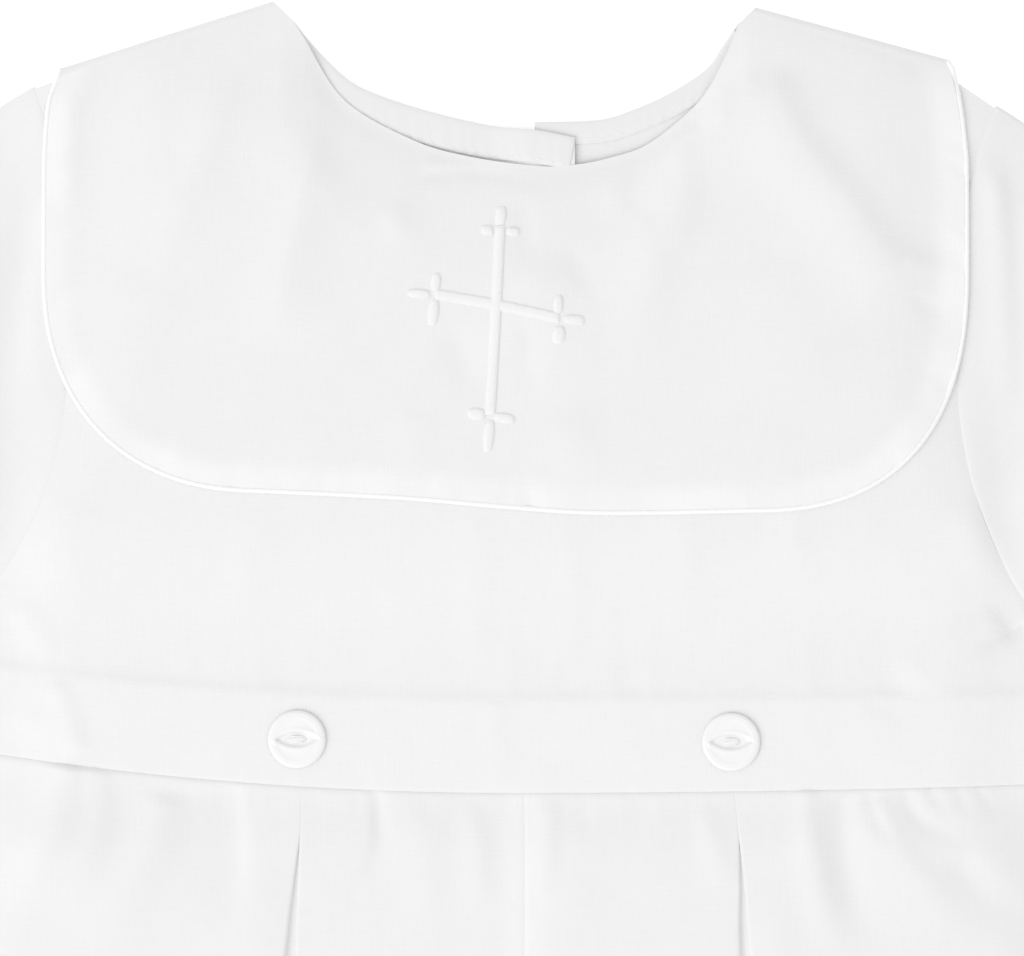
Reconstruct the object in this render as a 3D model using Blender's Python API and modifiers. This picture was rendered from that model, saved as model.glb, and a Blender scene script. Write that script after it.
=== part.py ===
"""Baptism romper for a baby, laid flat on its back with its front up.

Every cut piece of cloth is one sheet with a 1 mm wall. Sizes are in millimetres on the laid-out
garment: x runs across it, d runs down it from the top of the shoulders, z is the height above the
surface that it lies on. Left and right are those of someone who looks at its front.
"""
import math

import bmesh
import bpy

# Whole garment
LENGTH = 404.0
WALL = 1.0
GAP = 0.3
LAYER = WALL + GAP
FLOOR = WALL / 2

# Neck: places on the front's edge and on the edge of each back piece
NECK_FRONT = [(-52.5, 1.2), (-47.5, 8.9), (-38.2, 22.6), (-22.3, 31.8), (-9.1, 35.6), (6.0, 37.6),
              (14.3, 37.3), (22.3, 35.7), (31.4, 32.3), (42.7, 22.7), (48.2, 14.0), (53.0, 4.0)]
NECK_BACK = {
    "left": [(-52.5, 0.6), (-50.0, 4.1), (-45.9, 9.5), (-37.7, 17.7), (-29.5, 21.8), (-17.3, 25.6),
             (-5.0, 28.4), (5.0, 29.4), (14.3, 31.2)],
    "right": [(5.2, 27.6), (19.5, 27.2), (27.7, 24.8), (35.9, 21.1), (44.1, 15.7), (48.2, 10.0),
              (52.3, 3.9), (54.0, 1.4)],
}
NECK_ENDS = {"left": -49.5, "right": 51.5}
NECK_TURN = 0.6
BINDING_WIDTH = {"left": 6.0, "right": 5.0}
BINDING_END = {"left": -48.5, "right": 50.5}

# Back opening: the left back laps over the right one
LAP_LEFT_EDGE = 14.3
LAP_RIGHT_EDGE = 5.2
LAP_START = -6.0

# Shoulders: ends of the collar's fold, tip of the armhole and the point under the arm
SHOULDERS = {
    "left": {"side": -1, "neck": (-54.5, 0.0), "outer": (-101.8, 14.95),
             "tip": (-108.5, 20.0), "underarm": (-119.0, 134.0)},
    "right": {"side": 1, "neck": (55.5, 1.35), "outer": (98.4, 13.0),
              "tip": (110.0, 24.5), "underarm": (120.0, 141.0)},
}
ARMHOLE_REACH = 101.0
ARMHOLE_NARROW = (65.0, 75.0)
ARMHOLE_SHARE = 0.86

# Rise of the front over the layers below: its height, and where it starts to fall at each side
FRONT_CROWN = 1.6
FRONT_FLAT = {"top": (78.0, 100.0), "underarm": (98.0, 118.0), "between": (60.0, 134.0)}
LAP_RISE = {"height": 1.2, "x": 9.0, "half": 22.0, "fades": (40.0, 62.0)}
LAP_STEP = (36.5, 41.0)
LIFT_FADE = 14.0

# Collar and its piping
PIPING = 1.2
PIPING_HEIGHT = 0.7
PIPING_EDGE = PIPING + GAP
COLLAR_CLEAR = WALL / 2 + PIPING / 2 + GAP + 0.1
COLLAR_FRONT_CORNERS = {
    "left": {"centre": (-57.0, 62.0), "half": (50.0, 50.0), "power": 2.25},
    "right": {"centre": (54.0, 60.0), "half": (50.0, 56.5), "power": 2.5},
}
COLLAR_FRONT_BOTTOM = [(-57.0, 112.0), (-25.0, 113.6), (-3.0, 115.5), (20.0, 117.0), (54.0, 116.5)]
COLLAR_SHOULDER_CURVE = {"left": [(-106.0, 24.0), (-106.9, 36.0)],
                         "right": [(103.9, 36.0), (102.5, 24.0)]}
COLLAR_BACK_CORNER = {"centre": (62.0, 63.0), "half": (42.0, 42.0), "power": 2.3}
COLLAR_BACK_SIDE = (103.6, 34.0)
COLLAR_BACK_HALF = 104.0
COLLAR_BACK_BOTTOM = 105.0
COLLAR_BACK_ROUND = 24.0
COLLAR_BACK_MEET = (LAP_LEFT_EDGE + LAP_RIGHT_EDGE) / 2
COLLAR_LEAN = 1.6
COLLAR_REST = 16.0
PIPING_SHIFT = 0.25
PIPING_STRAIGHT_END = 76.0

# Waistband: depth of its top and bottom edges at the middle and how far they rise at each side
WAIST_TOP = {"middle": 159.3, "left": 7.3, "right": 1.0}
WAIST_BOTTOM = {"middle": 180.2, "left": 8.6, "right": 1.8}
WAIST_REACH = 116.0
WAIST_PROUD = 0.4
BUTTONS = {"left": (-48.9, 168.0), "right": (49.8, 168.6)}
BUTTON_WIDTH = 13.2
BUTTON_HEIGHT = 2.6
BUTTON_FACE = 0.3
BUTTON_RIM = [(2.2, 0.3), (1.5, 0.0), (0.7, 0.1), (0.1, 0.7), (0.0, 1.2)]
BUTTON_FOOT = [(0.2, 0.5), (0.8, 0.0)]
BUTTON_EYE = {"half_length": 5.6, "half_width": 2.4, "depth": 1.5, "above": 0.35}
BUTTON_HOLES = {"apart": 2.2, "radius": 0.8}

# Legs
CENTRE_SEAM = 2.9
CROTCH = 345.0
INSEAM_SPREAD = 18.0
HEM_OUTER = 396.0
LEG_TOP = 178.0
LEG_CROWN = {"waist": 2.0, "below": 3.1, "hem": 0.5, "grows": (179.0, 194.0), "falls": (330.0, 404.0),
             "side": 20.0, "inner": 30.0}
SIDE_SEAM = [(134.0, 119.0), (152.0, 118.0), (180.0, 120.0), (200.0, 127.0), (225.0, 132.5),
             (250.0, 136.0), (300.0, 140.0), (345.0, 142.0), (404.0, 142.5)]

# Sleeves: top and bottom corner of each hem
SLEEVE_HEMS = {"left": ((-168.0, 57.0), (-146.0, 142.0)), "right": ((168.0, 62.0), (146.0, 149.0))}
SLEEVE_PUFF = 2.3

# Folds on the collar: a ridge from one point to another, its half width and its height
COLLAR_FOLDS = [
    {"start": (-37.0, 32.0), "end": (-42.0, 66.0), "half_width": 7.0, "height": 1.3},
    {"start": (34.0, 30.0), "end": (10.0, 88.0), "half_width": 8.0, "height": 1.3},
    {"start": (67.0, 20.0), "end": (95.0, 58.0), "half_width": 6.0, "height": 1.4},
    {"start": (-78.0, 20.0), "end": (-90.0, 60.0), "half_width": 9.0, "height": 0.9},
    {"start": (58.0, 40.0), "end": (62.0, 90.0), "half_width": 10.0, "height": 0.9},
]
COLLAR_FOLD_EDGES = {"neck": (2.0, 16.0), "side": (0.0, 12.0), "half": 108.0}
BODICE_FOLDS_START = (112.0, 124.0)
BODICE_FOLDS = [
    {"start": (113.0, 146.0), "end": (84.0, 163.0), "half_width": 4.5, "height": 1.2},
    {"start": (-110.0, 140.0), "end": (-96.0, 150.0), "half_width": 5.0, "height": 0.9},
    {"start": (-7.0, 122.0), "end": (-7.0, 152.0), "half_width": 5.0, "height": 0.5},
    {"start": (41.0, 122.0), "end": (41.0, 152.0), "half_width": 6.0, "height": 0.5},
]

# Folds of each leg's front, as troughs: place between the centre seam (or the pleat) and the pleat
# (or the side seam), from 0 to 1, how far that drifts, depth, half width at the waist and lower
# down, and the d where the fold has faded
PLEATS = {"left": {"waist": 0.415, "low": 0.404}, "right": {"waist": 0.408, "low": 0.393}}
LEG_FOLDS = {
    "left": {
        "inner": [
            {"at": 0.17, "drift": 0.02, "depth": 0.7, "half": (2.5, 5.0), "faded": 235.0},
            {"at": 0.67, "drift": -0.02, "depth": 1.5, "half": (1.2, 3.0), "faded": 205.0},
        ],
        "outer": [
            {"at": 0.34, "drift": 0.20, "depth": 1.2, "half": (2.0, 8.0), "faded": 250.0},
            {"at": 0.69, "drift": 0.12, "depth": 1.3, "half": (2.0, 7.0), "faded": 240.0},
        ],
    },
    "right": {
        "inner": [
            {"at": 0.20, "drift": 0.02, "depth": 0.6, "half": (2.5, 5.0), "faded": 225.0},
            {"at": 0.86, "drift": 0.0, "depth": 0.8, "half": (1.6, 4.0), "faded": 215.0},
        ],
        "outer": [
            {"at": 0.22, "drift": 0.055, "depth": 1.9, "half": (1.3, 8.5), "faded": 270.0},
            {"at": 0.43, "drift": 0.06, "depth": 1.5, "half": (1.3, 3.0), "faded": 222.0},
            {"at": 0.51, "drift": 0.07, "depth": 1.5, "half": (1.2, 2.6), "faded": 214.0},
            {"at": 0.585, "drift": 0.07, "depth": 1.4, "half": (1.2, 2.4), "faded": 206.0},
            {"at": 0.665, "drift": 0.06, "depth": 1.4, "half": (1.2, 2.4), "faded": 204.0},
            {"at": 0.735, "drift": 0.05, "depth": 1.2, "half": (1.2, 2.2), "faded": 200.0},
        ],
    },
}

# Opening of a pleat on its way down: d, half width, corner radius, depth and half width of its floor
PLEAT_SHAPE = [
    {"d": 178.0, "half": 0.65, "corner": 0.65, "depth": 1.5, "floor": 0.65},
    {"d": 190.0, "half": 0.65, "corner": 0.65, "depth": 2.6, "floor": 0.65},
    {"d": 217.0, "half": 1.6, "corner": 1.2, "depth": 2.8, "floor": 0.9},
    {"d": 250.0, "half": 4.0, "corner": 4.0, "depth": 2.4, "floor": 1.8},
    {"d": 300.0, "half": 8.0, "corner": 8.0, "depth": 1.3, "floor": 3.0},
    {"d": 404.0, "half": 10.0, "corner": 9.0, "depth": 0.6, "floor": 4.0},
]

WHITE_CLOTH = (0.87, 0.87, 0.86)
WHITE_PIPING = (0.93, 0.93, 0.92)
WHITE_BUTTON = (0.90, 0.90, 0.89)


# Small helpers
def smooth(start, end, value):
    """0 before start, 1 after end, and a soft step between them."""
    part = min(1.0, max(0.0, (value - start) / (end - start)))
    return part * part * (3.0 - 2.0 * part)


def mix(first, second, part):
    """Point or number that lies part of the way from first to second."""
    if isinstance(first, tuple):
        return tuple(a + (b - a) * part for a, b in zip(first, second))
    return first + (second - first) * part


def between(table, key, value):
    """Row value read from a table at d = value, straight between its rows."""
    for above, below in zip(table, table[1:]):
        if value <= below["d"]:
            part = max(0.0, (value - above["d"]) / (below["d"] - above["d"]))
            return mix(above[key], below[key], part)
    return table[-1][key]


def curve_through(points, steps=8):
    """Smooth path through a few points."""
    ends = [points[0]] + list(points) + [points[-1]]
    path = []
    for a, b, c, e in zip(ends, ends[1:], ends[2:], ends[3:]):
        for step in range(steps):
            t = step / steps
            path.append(tuple(
                0.5 * (2 * q + (r - p) * t + (2 * p - 5 * q + 4 * r - s) * t * t
                       + (3 * q - p - 3 * r + s) * t ** 3)
                for p, q, r, s in zip(a, b, c, e)))
    return path + [tuple(points[-1])]


def even(path, count):
    """The path as count stretches of one length, its ends kept."""
    reach = [0.0]
    for a, b in zip(path, path[1:]):
        reach.append(reach[-1] + math.dist(a, b))
    result = []
    place = 0
    for step in range(count + 1):
        want = reach[-1] * step / count
        while place < len(path) - 2 and reach[place + 1] < want:
            place += 1
        span = max(reach[place + 1] - reach[place], 1e-9)
        part = min(1.0, max(0.0, (want - reach[place]) / span))
        result.append(mix(path[place], path[place + 1], part))
    return result


def inset(path, by):
    """The path moved sideways, to its left as it is drawn with d pointing down."""
    moved = []
    for index, here in enumerate(path):
        before = path[max(0, index - 1)]
        after = path[min(len(path) - 1, index + 1)]
        run = math.dist(before, after)
        along = ((after[0] - before[0]) / run, (after[1] - before[1]) / run)
        moved.append((here[0] + along[1] * by, here[1] - along[0] * by))
    return moved


def spread(stops, most):
    """The stops with more put evenly between them, so that none lie further apart than most."""
    result = [stops[0]]
    for a, b in zip(stops, stops[1:]):
        parts = max(1, math.ceil((b - a) / most - 0.01))
        result.extend(mix(a, b, (step + 1) / parts) for step in range(parts))
    return result


# Outlines
FRONT_NECK = curve_through(NECK_FRONT)
BACK_NECK = {name: curve_through(places) for name, places in NECK_BACK.items()}


def neck(edge, x):
    """d of a neck edge at x, on the smooth path through its places."""
    for (ax, ad), (bx, bd) in zip(edge, edge[1:]):
        if x <= bx:
            return mix(ad, bd, max(0.0, x - ax) / (bx - ax))
    return edge[-1][1]


def waist(edge, x):
    """d of one edge of the waistband at x."""
    rise = edge["left"] if x < 0 else edge["right"]
    return edge["middle"] - rise * (x / WAIST_REACH) ** 2


def side_seam(d):
    """Half width of the garment at the side seam."""
    table = [{"d": depth, "x": half} for depth, half in SIDE_SEAM]
    return between(table, "x", d)


def armhole(shoulder, d):
    """Half width at the armhole's edge."""
    tip_x, tip_d = abs(shoulder["tip"][0]), shoulder["tip"][1]
    low_x, low_d = abs(shoulder["underarm"][0]), shoulder["underarm"][1]
    upper, lower = ARMHOLE_NARROW
    if d < upper:
        return ARMHOLE_REACH + (tip_x - ARMHOLE_REACH) * ((upper - d) / (upper - tip_d)) ** 2
    if d < lower:
        return ARMHOLE_REACH
    return ARMHOLE_REACH + (low_x - ARMHOLE_REACH) * ((d - lower) / (low_d - lower)) ** 2.6


def armhole_path(shoulder):
    """Armhole from its tip at the shoulder to the point under the arm."""
    top, low = shoulder["tip"][1], shoulder["underarm"][1]
    depths = [mix(top, low, step / 40) for step in range(41)]
    return [(shoulder["side"] * armhole(shoulder, d), d) for d in depths]


def inseam(d):
    """How far each leg's inner edge lies from the centre seam."""
    part = max(0.0, (d - CROTCH) / (LENGTH - CROTCH))
    return GAP / 2 + INSEAM_SPREAD * part ** 1.2


# Heights of the layers
def ridges(folds, x, d):
    """Height that the listed folds add at a point."""
    height = 0.0
    for fold in folds:
        (ax, ad), (bx, bd) = fold["start"], fold["end"]
        run = (bx - ax) ** 2 + (bd - ad) ** 2
        part = min(1.0, max(0.0, ((x - ax) * (bx - ax) + (d - ad) * (bd - ad)) / run))
        away = math.hypot(x - mix(ax, bx, part), d - mix(ad, bd, part))
        height += fold["height"] * math.exp(-(away / fold["half_width"]) ** 2)
    return height


def lift(x, d):
    """Height that the back collar and its piping give to the back of the garment."""
    below = d - COLLAR_BACK_BOTTOM - COLLAR_REST
    away = math.hypot(max(0.0, abs(x) - COLLAR_BACK_HALF), max(0.0, below))
    return (PIPING_HEIGHT + PIPING / 2 + GAP) * (1.0 - smooth(0.0, LIFT_FADE, away))


def back_height(x, d):
    """Middle of the back layer's wall."""
    return FLOOR + lift(x, d)


def left_back_height(x, d):
    """Middle of the left back's wall, which climbs over the right back and its binding."""
    over = LAYER + LAYER * (1.0 - smooth(*LAP_STEP, d))
    return back_height(x, d) + over * smooth(LAP_START, LAP_RIGHT_EDGE - GAP, x)


def front_height(x, d):
    """Middle of the front layer's wall."""
    near, far = mix(FRONT_FLAT["top"], FRONT_FLAT["underarm"], smooth(*FRONT_FLAT["between"], d))
    crown = FRONT_CROWN * (1.0 - smooth(near, far, abs(x)))
    lap = LAP_RISE["height"] * math.exp(-((x - LAP_RISE["x"]) / LAP_RISE["half"]) ** 2)
    lap *= 1.0 - smooth(*LAP_RISE["fades"], d)
    folds = ridges(BODICE_FOLDS, x, d) * smooth(*BODICE_FOLDS_START, d)
    return back_height(x, d) + LAYER + crown + lap + folds


def collar_height(x, d):
    """Middle of the front collar's wall."""
    from_neck = smooth(*COLLAR_FOLD_EDGES["neck"], d - neck(FRONT_NECK, x))
    from_side = smooth(*COLLAR_FOLD_EDGES["side"], COLLAR_FOLD_EDGES["half"] - abs(x))
    folds = ridges(COLLAR_FOLDS, x, d) * from_neck * from_side
    return front_height(x, d) + COLLAR_CLEAR + folds


# Building
def point(x, d, z):
    """Place in metres, with the origin under the middle of the garment."""
    return (x / 1000.0, (LENGTH / 2 - d) / 1000.0, z / 1000.0)


def finish(name, colour, roughness):
    """Principled material in one colour."""
    material = bpy.data.materials.new(name)
    material.use_nodes = True
    shader = material.node_tree.nodes["Principled BSDF"]
    shader.inputs["Base Color"].default_value = (*colour, 1.0)
    shader.inputs["Roughness"].default_value = roughness
    shader.inputs["Metallic"].default_value = 0.0
    return material


def sheet(name, grid, tube=False):
    """Cut piece of cloth: grid holds its columns of (x, d, z) points, a Solidify its wall."""
    columns, rows = len(grid) - 1, len(grid[0]) - 1
    form = bmesh.new()
    bmesh.ops.create_grid(form, x_segments=columns, y_segments=rows, size=0.5)
    for vertex in form.verts:
        column = round((vertex.co.x + 0.5) * columns)
        row = round((vertex.co.y + 0.5) * rows)
        vertex.co = point(*grid[column][row])
    if tube:
        bmesh.ops.remove_doubles(form, verts=form.verts, dist=1e-6)
    mesh = bpy.data.meshes.new(name)
    form.to_mesh(mesh)
    form.free()
    mesh.shade_smooth()
    piece = bpy.data.objects.new(name, mesh)
    garment.objects.link(piece)
    piece.data.materials.append(finish(f"{name}_cloth", WHITE_CLOTH, 0.85))
    wall = piece.modifiers.new("wall", "SOLIDIFY")
    wall.thickness = WALL / 1000.0
    wall.offset = 0.0
    wall.use_even_offset = True
    wall.use_quality_normals = True
    return piece


def patch(top, bottom, left, right, parts):
    """Columns of plan points that fill the four edges, with rows at the given parts."""
    columns = []
    last = len(top) - 1
    for index, (high, low) in enumerate(zip(top, bottom)):
        u = index / last
        column = []
        for row, v in enumerate(parts):
            straight = mix(high, low, v)
            pull_left = [a - b for a, b in zip(left[row], mix(left[0], left[-1], v))]
            pull_right = [a - b for a, b in zip(right[row], mix(right[0], right[-1], v))]
            column.append(tuple(
                p + (1 - u) ** 3 * a + u ** 3 * b
                for p, a, b in zip(straight, pull_left, pull_right)))
        columns.append(column)
    return columns


def raised(columns, height):
    """Plan points with their height above the surface."""
    return [[(x, d, height(x, d)) for x, d in column] for column in columns]


def at_parts(path, parts):
    """Points of a path at parts of its length."""
    fine = even(path, 400)
    return [fine[round(part * 400)] for part in parts]


# Collar
def fold_directions(shoulder):
    """Unit vectors along a shoulder's fold and square to it, out of the garment."""
    (ax, ad), (bx, bd) = shoulder["neck"], shoulder["outer"]
    run = math.dist(shoulder["neck"], shoulder["outer"])
    along = ((bx - ax) / run, (bd - ad) / run)
    out = (along[1], -along[0]) if along[0] > 0 else (-along[1], along[0])
    return along, out


def fold_centre(shoulder, part):
    """Plan point under which the collar turns, its height and its radius there."""
    along, out = fold_directions(shoulder)
    edge = mix(shoulder["neck"], shoulder["outer"], part)
    radius = (collar_height(edge[0], edge[1] + 3.0) - FLOOR) / 2
    lean = COLLAR_LEAN * part ** 4
    centre = tuple(e - o * (radius + FLOOR) + a * lean for e, o, a in zip(edge, out, along))
    return centre, radius


def fold_column(shoulder, turn, rows):
    """Column of the collar on its way round the shoulder, from turn 0 at the back to 1."""
    _, out = fold_directions(shoulder)
    column = []
    for row in range(rows + 1):
        part = row / rows
        centre, radius = fold_centre(shoulder, part)
        top = mix(shoulder["neck"], shoulder["outer"], part)
        tip = tuple(t - o * FLOOR for t, o in zip(top, out))
        x, d = mix(centre, tip, math.sin(math.pi * turn))
        column.append((x, d, FLOOR + radius - radius * math.cos(math.pi * turn)))
    return column


def corner(shape, side, steps=10):
    """Rounded corner from a collar's side to its bottom edge."""
    (cx, cd), (across, down), power = shape["centre"], shape["half"], shape["power"]
    path = []
    for step in range(steps + 1):
        angle = math.pi / 2 * step / steps
        path.append((cx + side * across * math.cos(angle) ** (2 / power),
                     cd + down * math.sin(angle) ** (2 / power)))
    return path


def front_outline(by):
    """Front edge of the collar from one shoulder to the other, moved in from the piping's edge."""
    left, right = SHOULDERS["left"], SHOULDERS["right"]
    starts = {}
    for name, shoulder in SHOULDERS.items():
        along, _ = fold_directions(shoulder)
        centre, _ = fold_centre(shoulder, 1.0)
        starts[name] = tuple(c + a * PIPING_EDGE for c, a in zip(centre, along))
    upper_left = curve_through([starts["left"]] + COLLAR_SHOULDER_CURVE["left"])
    upper_right = curve_through(COLLAR_SHOULDER_CURVE["right"] + [starts["right"]])
    lower_left = corner(COLLAR_FRONT_CORNERS["left"], left["side"])
    lower_right = corner(COLLAR_FRONT_CORNERS["right"], right["side"])[::-1]
    bottom = curve_through(COLLAR_FRONT_BOTTOM)[1:-1]
    path = upper_left + lower_left + bottom + lower_right + upper_right
    path = even(path, 160)
    moved = inset(path, by)
    for index, name in ((0, "left"), (-1, "right")):
        along, _ = fold_directions(SHOULDERS[name])
        moved[index] = tuple(s - a * by for s, a in zip(starts[name], along))
    return moved


def back_outline(name, by):
    """Edge of one back half of the collar, from its shoulder to its end at the centre back."""
    shoulder = SHOULDERS[name]
    side = shoulder["side"]
    along, _ = fold_directions(shoulder)
    centre, _ = fold_centre(shoulder, 1.0)
    start = tuple(c + a * PIPING_EDGE for c, a in zip(centre, along))
    meet = COLLAR_BACK_MEET + side * GAP
    centre_x, centre_d = COLLAR_BACK_CORNER["centre"]
    outer = corner({**COLLAR_BACK_CORNER, "centre": (side * centre_x, centre_d)}, side)
    radius = COLLAR_BACK_ROUND
    shape = {"centre": (meet + side * radius, COLLAR_BACK_BOTTOM - radius),
             "half": (radius, radius), "power": 2.0}
    inner = corner(shape, -side)[::-1]
    side_x, side_d = COLLAR_BACK_SIDE
    path = even([start, (side * side_x, side_d)] + outer + inner, 120)
    moved = inset(path, -side * by)
    moved[0] = tuple(s - a * by for s, a in zip(start, along))
    moved[-1] = (meet + side * by, COLLAR_BACK_BOTTOM - radius)
    return moved


def make_collar():
    """Wide collar that turns over both shoulders, open at the centre back."""
    rows, turns, back_columns, front_columns = 7, 6, 12, 38
    columns = []
    halves = {}
    for name, shoulder in SHOULDERS.items():
        side = shoulder["side"]
        end_x = COLLAR_BACK_MEET + side * (GAP + PIPING_EDGE)
        neck_end = fold_centre(shoulder, 0.0)[0]
        xs = [mix(end_x, NECK_ENDS[name], step / 30) for step in range(31)]
        inner = [(x, neck(BACK_NECK[name], x) + NECK_TURN) for x in xs] + [neck_end]
        outer = back_outline(name, PIPING_EDGE)[::-1]
        pairs = zip(even(inner, back_columns), even(outer, back_columns))
        halves[name] = [
            [(*mix(a, b, row / rows), FLOOR) for row in range(rows + 1)] for a, b in pairs]
    left, right = SHOULDERS["left"], SHOULDERS["right"]
    columns += halves["left"][:-1]
    columns += [fold_column(left, step / turns, rows) for step in range(turns)]
    xs = [mix(NECK_ENDS["left"], NECK_ENDS["right"], step / 60) for step in range(61)]
    inner = ([fold_centre(left, 0.0)[0]] + [(x, neck(FRONT_NECK, x)) for x in xs]
             + [fold_centre(right, 0.0)[0]])
    pairs = zip(even(inner, front_columns), even(front_outline(PIPING_EDGE), front_columns))
    front = []
    for a, b in pairs:
        plan = [mix(a, b, row / rows) for row in range(rows + 1)]
        front.append([(x, d, collar_height(x, d)) for x, d in plan])
    front[0] = fold_column(left, 1.0, rows)
    front[-1] = fold_column(right, 1.0, rows)
    columns += front[:-1]
    columns += [fold_column(right, 1.0 - step / turns, rows) for step in range(turns)]
    columns += halves["right"][::-1]
    sheet("collar", columns)


def piping_turn(shoulder, turn):
    """Point of the piping on its way round the shoulder."""
    along, out = fold_directions(shoulder)
    centre, radius = fold_centre(shoulder, 1.0)
    reach = PIPING_EDGE - PIPING / 2 + PIPING_SHIFT
    centre = tuple(c + a * reach for c, a in zip(centre, along))
    tip = tuple(t - o * FLOOR + a * reach for t, o, a in zip(shoulder["outer"], out, along))
    x, d = mix(centre, tip, math.sin(math.pi * turn))
    low, high = PIPING_HEIGHT, FLOOR + 2 * radius
    return (x, d, mix(low, high, (1 - math.cos(math.pi * turn)) / 2))


def make_piping():
    """Thin cord in the collar's edge, round the front and both back halves."""
    half = PIPING / 2
    route = []
    turns = [step / 6 for step in range(1, 6)]
    for name in ("left", "right"):
        shoulder = SHOULDERS[name]
        side = shoulder["side"]
        x = COLLAR_BACK_MEET + side * (GAP + half)
        top = neck(BACK_NECK[name], x) + NECK_TURN
        centre_back = [(x, mix(top, PIPING_STRAIGHT_END, step / 4)) for step in range(5)]
        edge = even(back_outline(name, half), 28)[::-1]
        back = [(px, pd, PIPING_HEIGHT) for px, pd in centre_back + edge[:-1]]
        back.append(piping_turn(shoulder, 0.0))
        if name == "left":
            route += back + [piping_turn(shoulder, turn) for turn in turns]
            front = even(front_outline(half), 52)
            route += [(px, pd, collar_height(px, pd)) for px, pd in front]
            route[-len(front)] = piping_turn(shoulder, 1.0)
            route[-1] = piping_turn(SHOULDERS["right"], 1.0)
        else:
            route += [piping_turn(shoulder, turn) for turn in turns[::-1]] + back[::-1]
    curve = bpy.data.curves.new("collar_piping", "CURVE")
    curve.dimensions = "3D"
    curve.bevel_depth = half / 1000.0
    curve.bevel_resolution = 2
    curve.use_fill_caps = True
    spline = curve.splines.new("POLY")
    spline.points.add(len(route) - 1)
    for spot, place in zip(spline.points, route):
        spot.co = (*point(*place), 1.0)
    piping = bpy.data.objects.new("collar_piping", curve)
    curve.materials.append(finish("piping_cord", WHITE_PIPING, 0.7))
    garment.objects.link(piping)


# Bodice
def shoulder_edge(shoulder, steps):
    """Bodice's shoulder edge from the armhole's tip to the neck, inside the collar's fold."""
    axis = [fold_centre(shoulder, 1.0 - step / 10)[0] for step in range(1, 10)]
    along, _ = fold_directions(shoulder)
    neck_end = tuple(c + a * 0.8 for c, a in zip(fold_centre(shoulder, 0.0)[0], along))
    return even([shoulder["tip"]] + axis + [neck_end], steps)


def side_edge(shoulder):
    """Armhole and side seam down to the waistband."""
    side = shoulder["side"]
    low = shoulder["underarm"][1]
    end_x = side * side_seam(waist(WAIST_TOP, side * 118.0))
    end = (end_x, waist(WAIST_TOP, end_x) - GAP)
    seam_middle = mix((side * side_seam(low), low), end, 0.5)
    return at_parts(armhole_path(shoulder), ARMHOLE_PARTS) + [seam_middle, end]


# Rows of the bodice, which the sleeves share down the armhole
ARMHOLE_PARTS = [0.0, 0.07, 0.11, 0.22, 0.34, 0.46, 0.58, 0.7, 0.8, 0.9, 1.0]
ROWS = [part * ARMHOLE_SHARE for part in ARMHOLE_PARTS] + [(1.0 + ARMHOLE_SHARE) / 2, 1.0]


def waist_points(first, last, count):
    """Points just above the waistband from one x to another."""
    xs = [mix(first, last, step / count) for step in range(count + 1)]
    return [(x, waist(WAIST_TOP, x) - GAP) for x in xs]


def make_front_bodice():
    """Front of the bodice, its neck edge under the collar's."""
    left, right = SHOULDERS["left"], SHOULDERS["right"]
    left_shoulder = shoulder_edge(left, 6)
    right_shoulder = shoulder_edge(right, 6)[::-1]
    start, end = left_shoulder[-1], right_shoulder[0]
    xs = [mix(NECK_ENDS["left"], NECK_ENDS["right"], step / 40) for step in range(41)]
    neckline = even([start] + [(x, neck(FRONT_NECK, x) + 0.5) for x in xs] + [end], 14)
    top = left_shoulder[:-1] + neckline + right_shoulder[1:]
    sides = {name: side_edge(SHOULDERS[name]) for name in SHOULDERS}
    bottom = waist_points(sides["left"][-1][0], sides["right"][-1][0], len(top) - 1)
    columns = patch(top, bottom, sides["left"], sides["right"], ROWS)
    sheet("front_bodice", raised(columns, front_height))


BACK_NECK_LEFT = [-42.0, -34.0, -26.0, -18.0, -11.0, LAP_START, -2.4, 1.2, 4.9, 9.6, LAP_LEFT_EDGE]
BACK_NECK_RIGHT = [LAP_RIGHT_EDGE, 14.0, 22.0, 30.0, 38.0, 44.0, 48.0]


def make_back_bodice():
    """Two backs: the left one laps over the right one at the centre back."""
    left, right = SHOULDERS["left"], SHOULDERS["right"]
    left_shoulder = shoulder_edge(left, 7)
    xs = [NECK_ENDS["left"]] + BACK_NECK_LEFT
    top = left_shoulder + [(x, neck(BACK_NECK["left"], x)) for x in xs]
    side = side_edge(left)
    low_xs = spread([side[-1][0], -42.0], 9.6) + BACK_NECK_LEFT[1:]
    bottom = [(x, waist(WAIST_TOP, x) - GAP) for x in low_xs]
    inner = [mix(top[-1], bottom[-1], part) for part in ROWS]
    columns = patch(top, bottom, side, inner, ROWS)
    sheet("back_bodice_left", raised(columns, left_back_height))
    right_shoulder = shoulder_edge(right, 7)[::-1]
    xs = BACK_NECK_RIGHT + [NECK_ENDS["right"]]
    top = [(x, neck(BACK_NECK["right"], x)) for x in xs] + right_shoulder
    side = side_edge(right)
    bottom = waist_points(LAP_RIGHT_EDGE, side[-1][0], len(top) - 1)
    inner = [mix(top[0], bottom[0], part) for part in ROWS]
    columns = patch(top, bottom, inner, side, ROWS)
    sheet("back_bodice_right", raised(columns, back_height))


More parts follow.
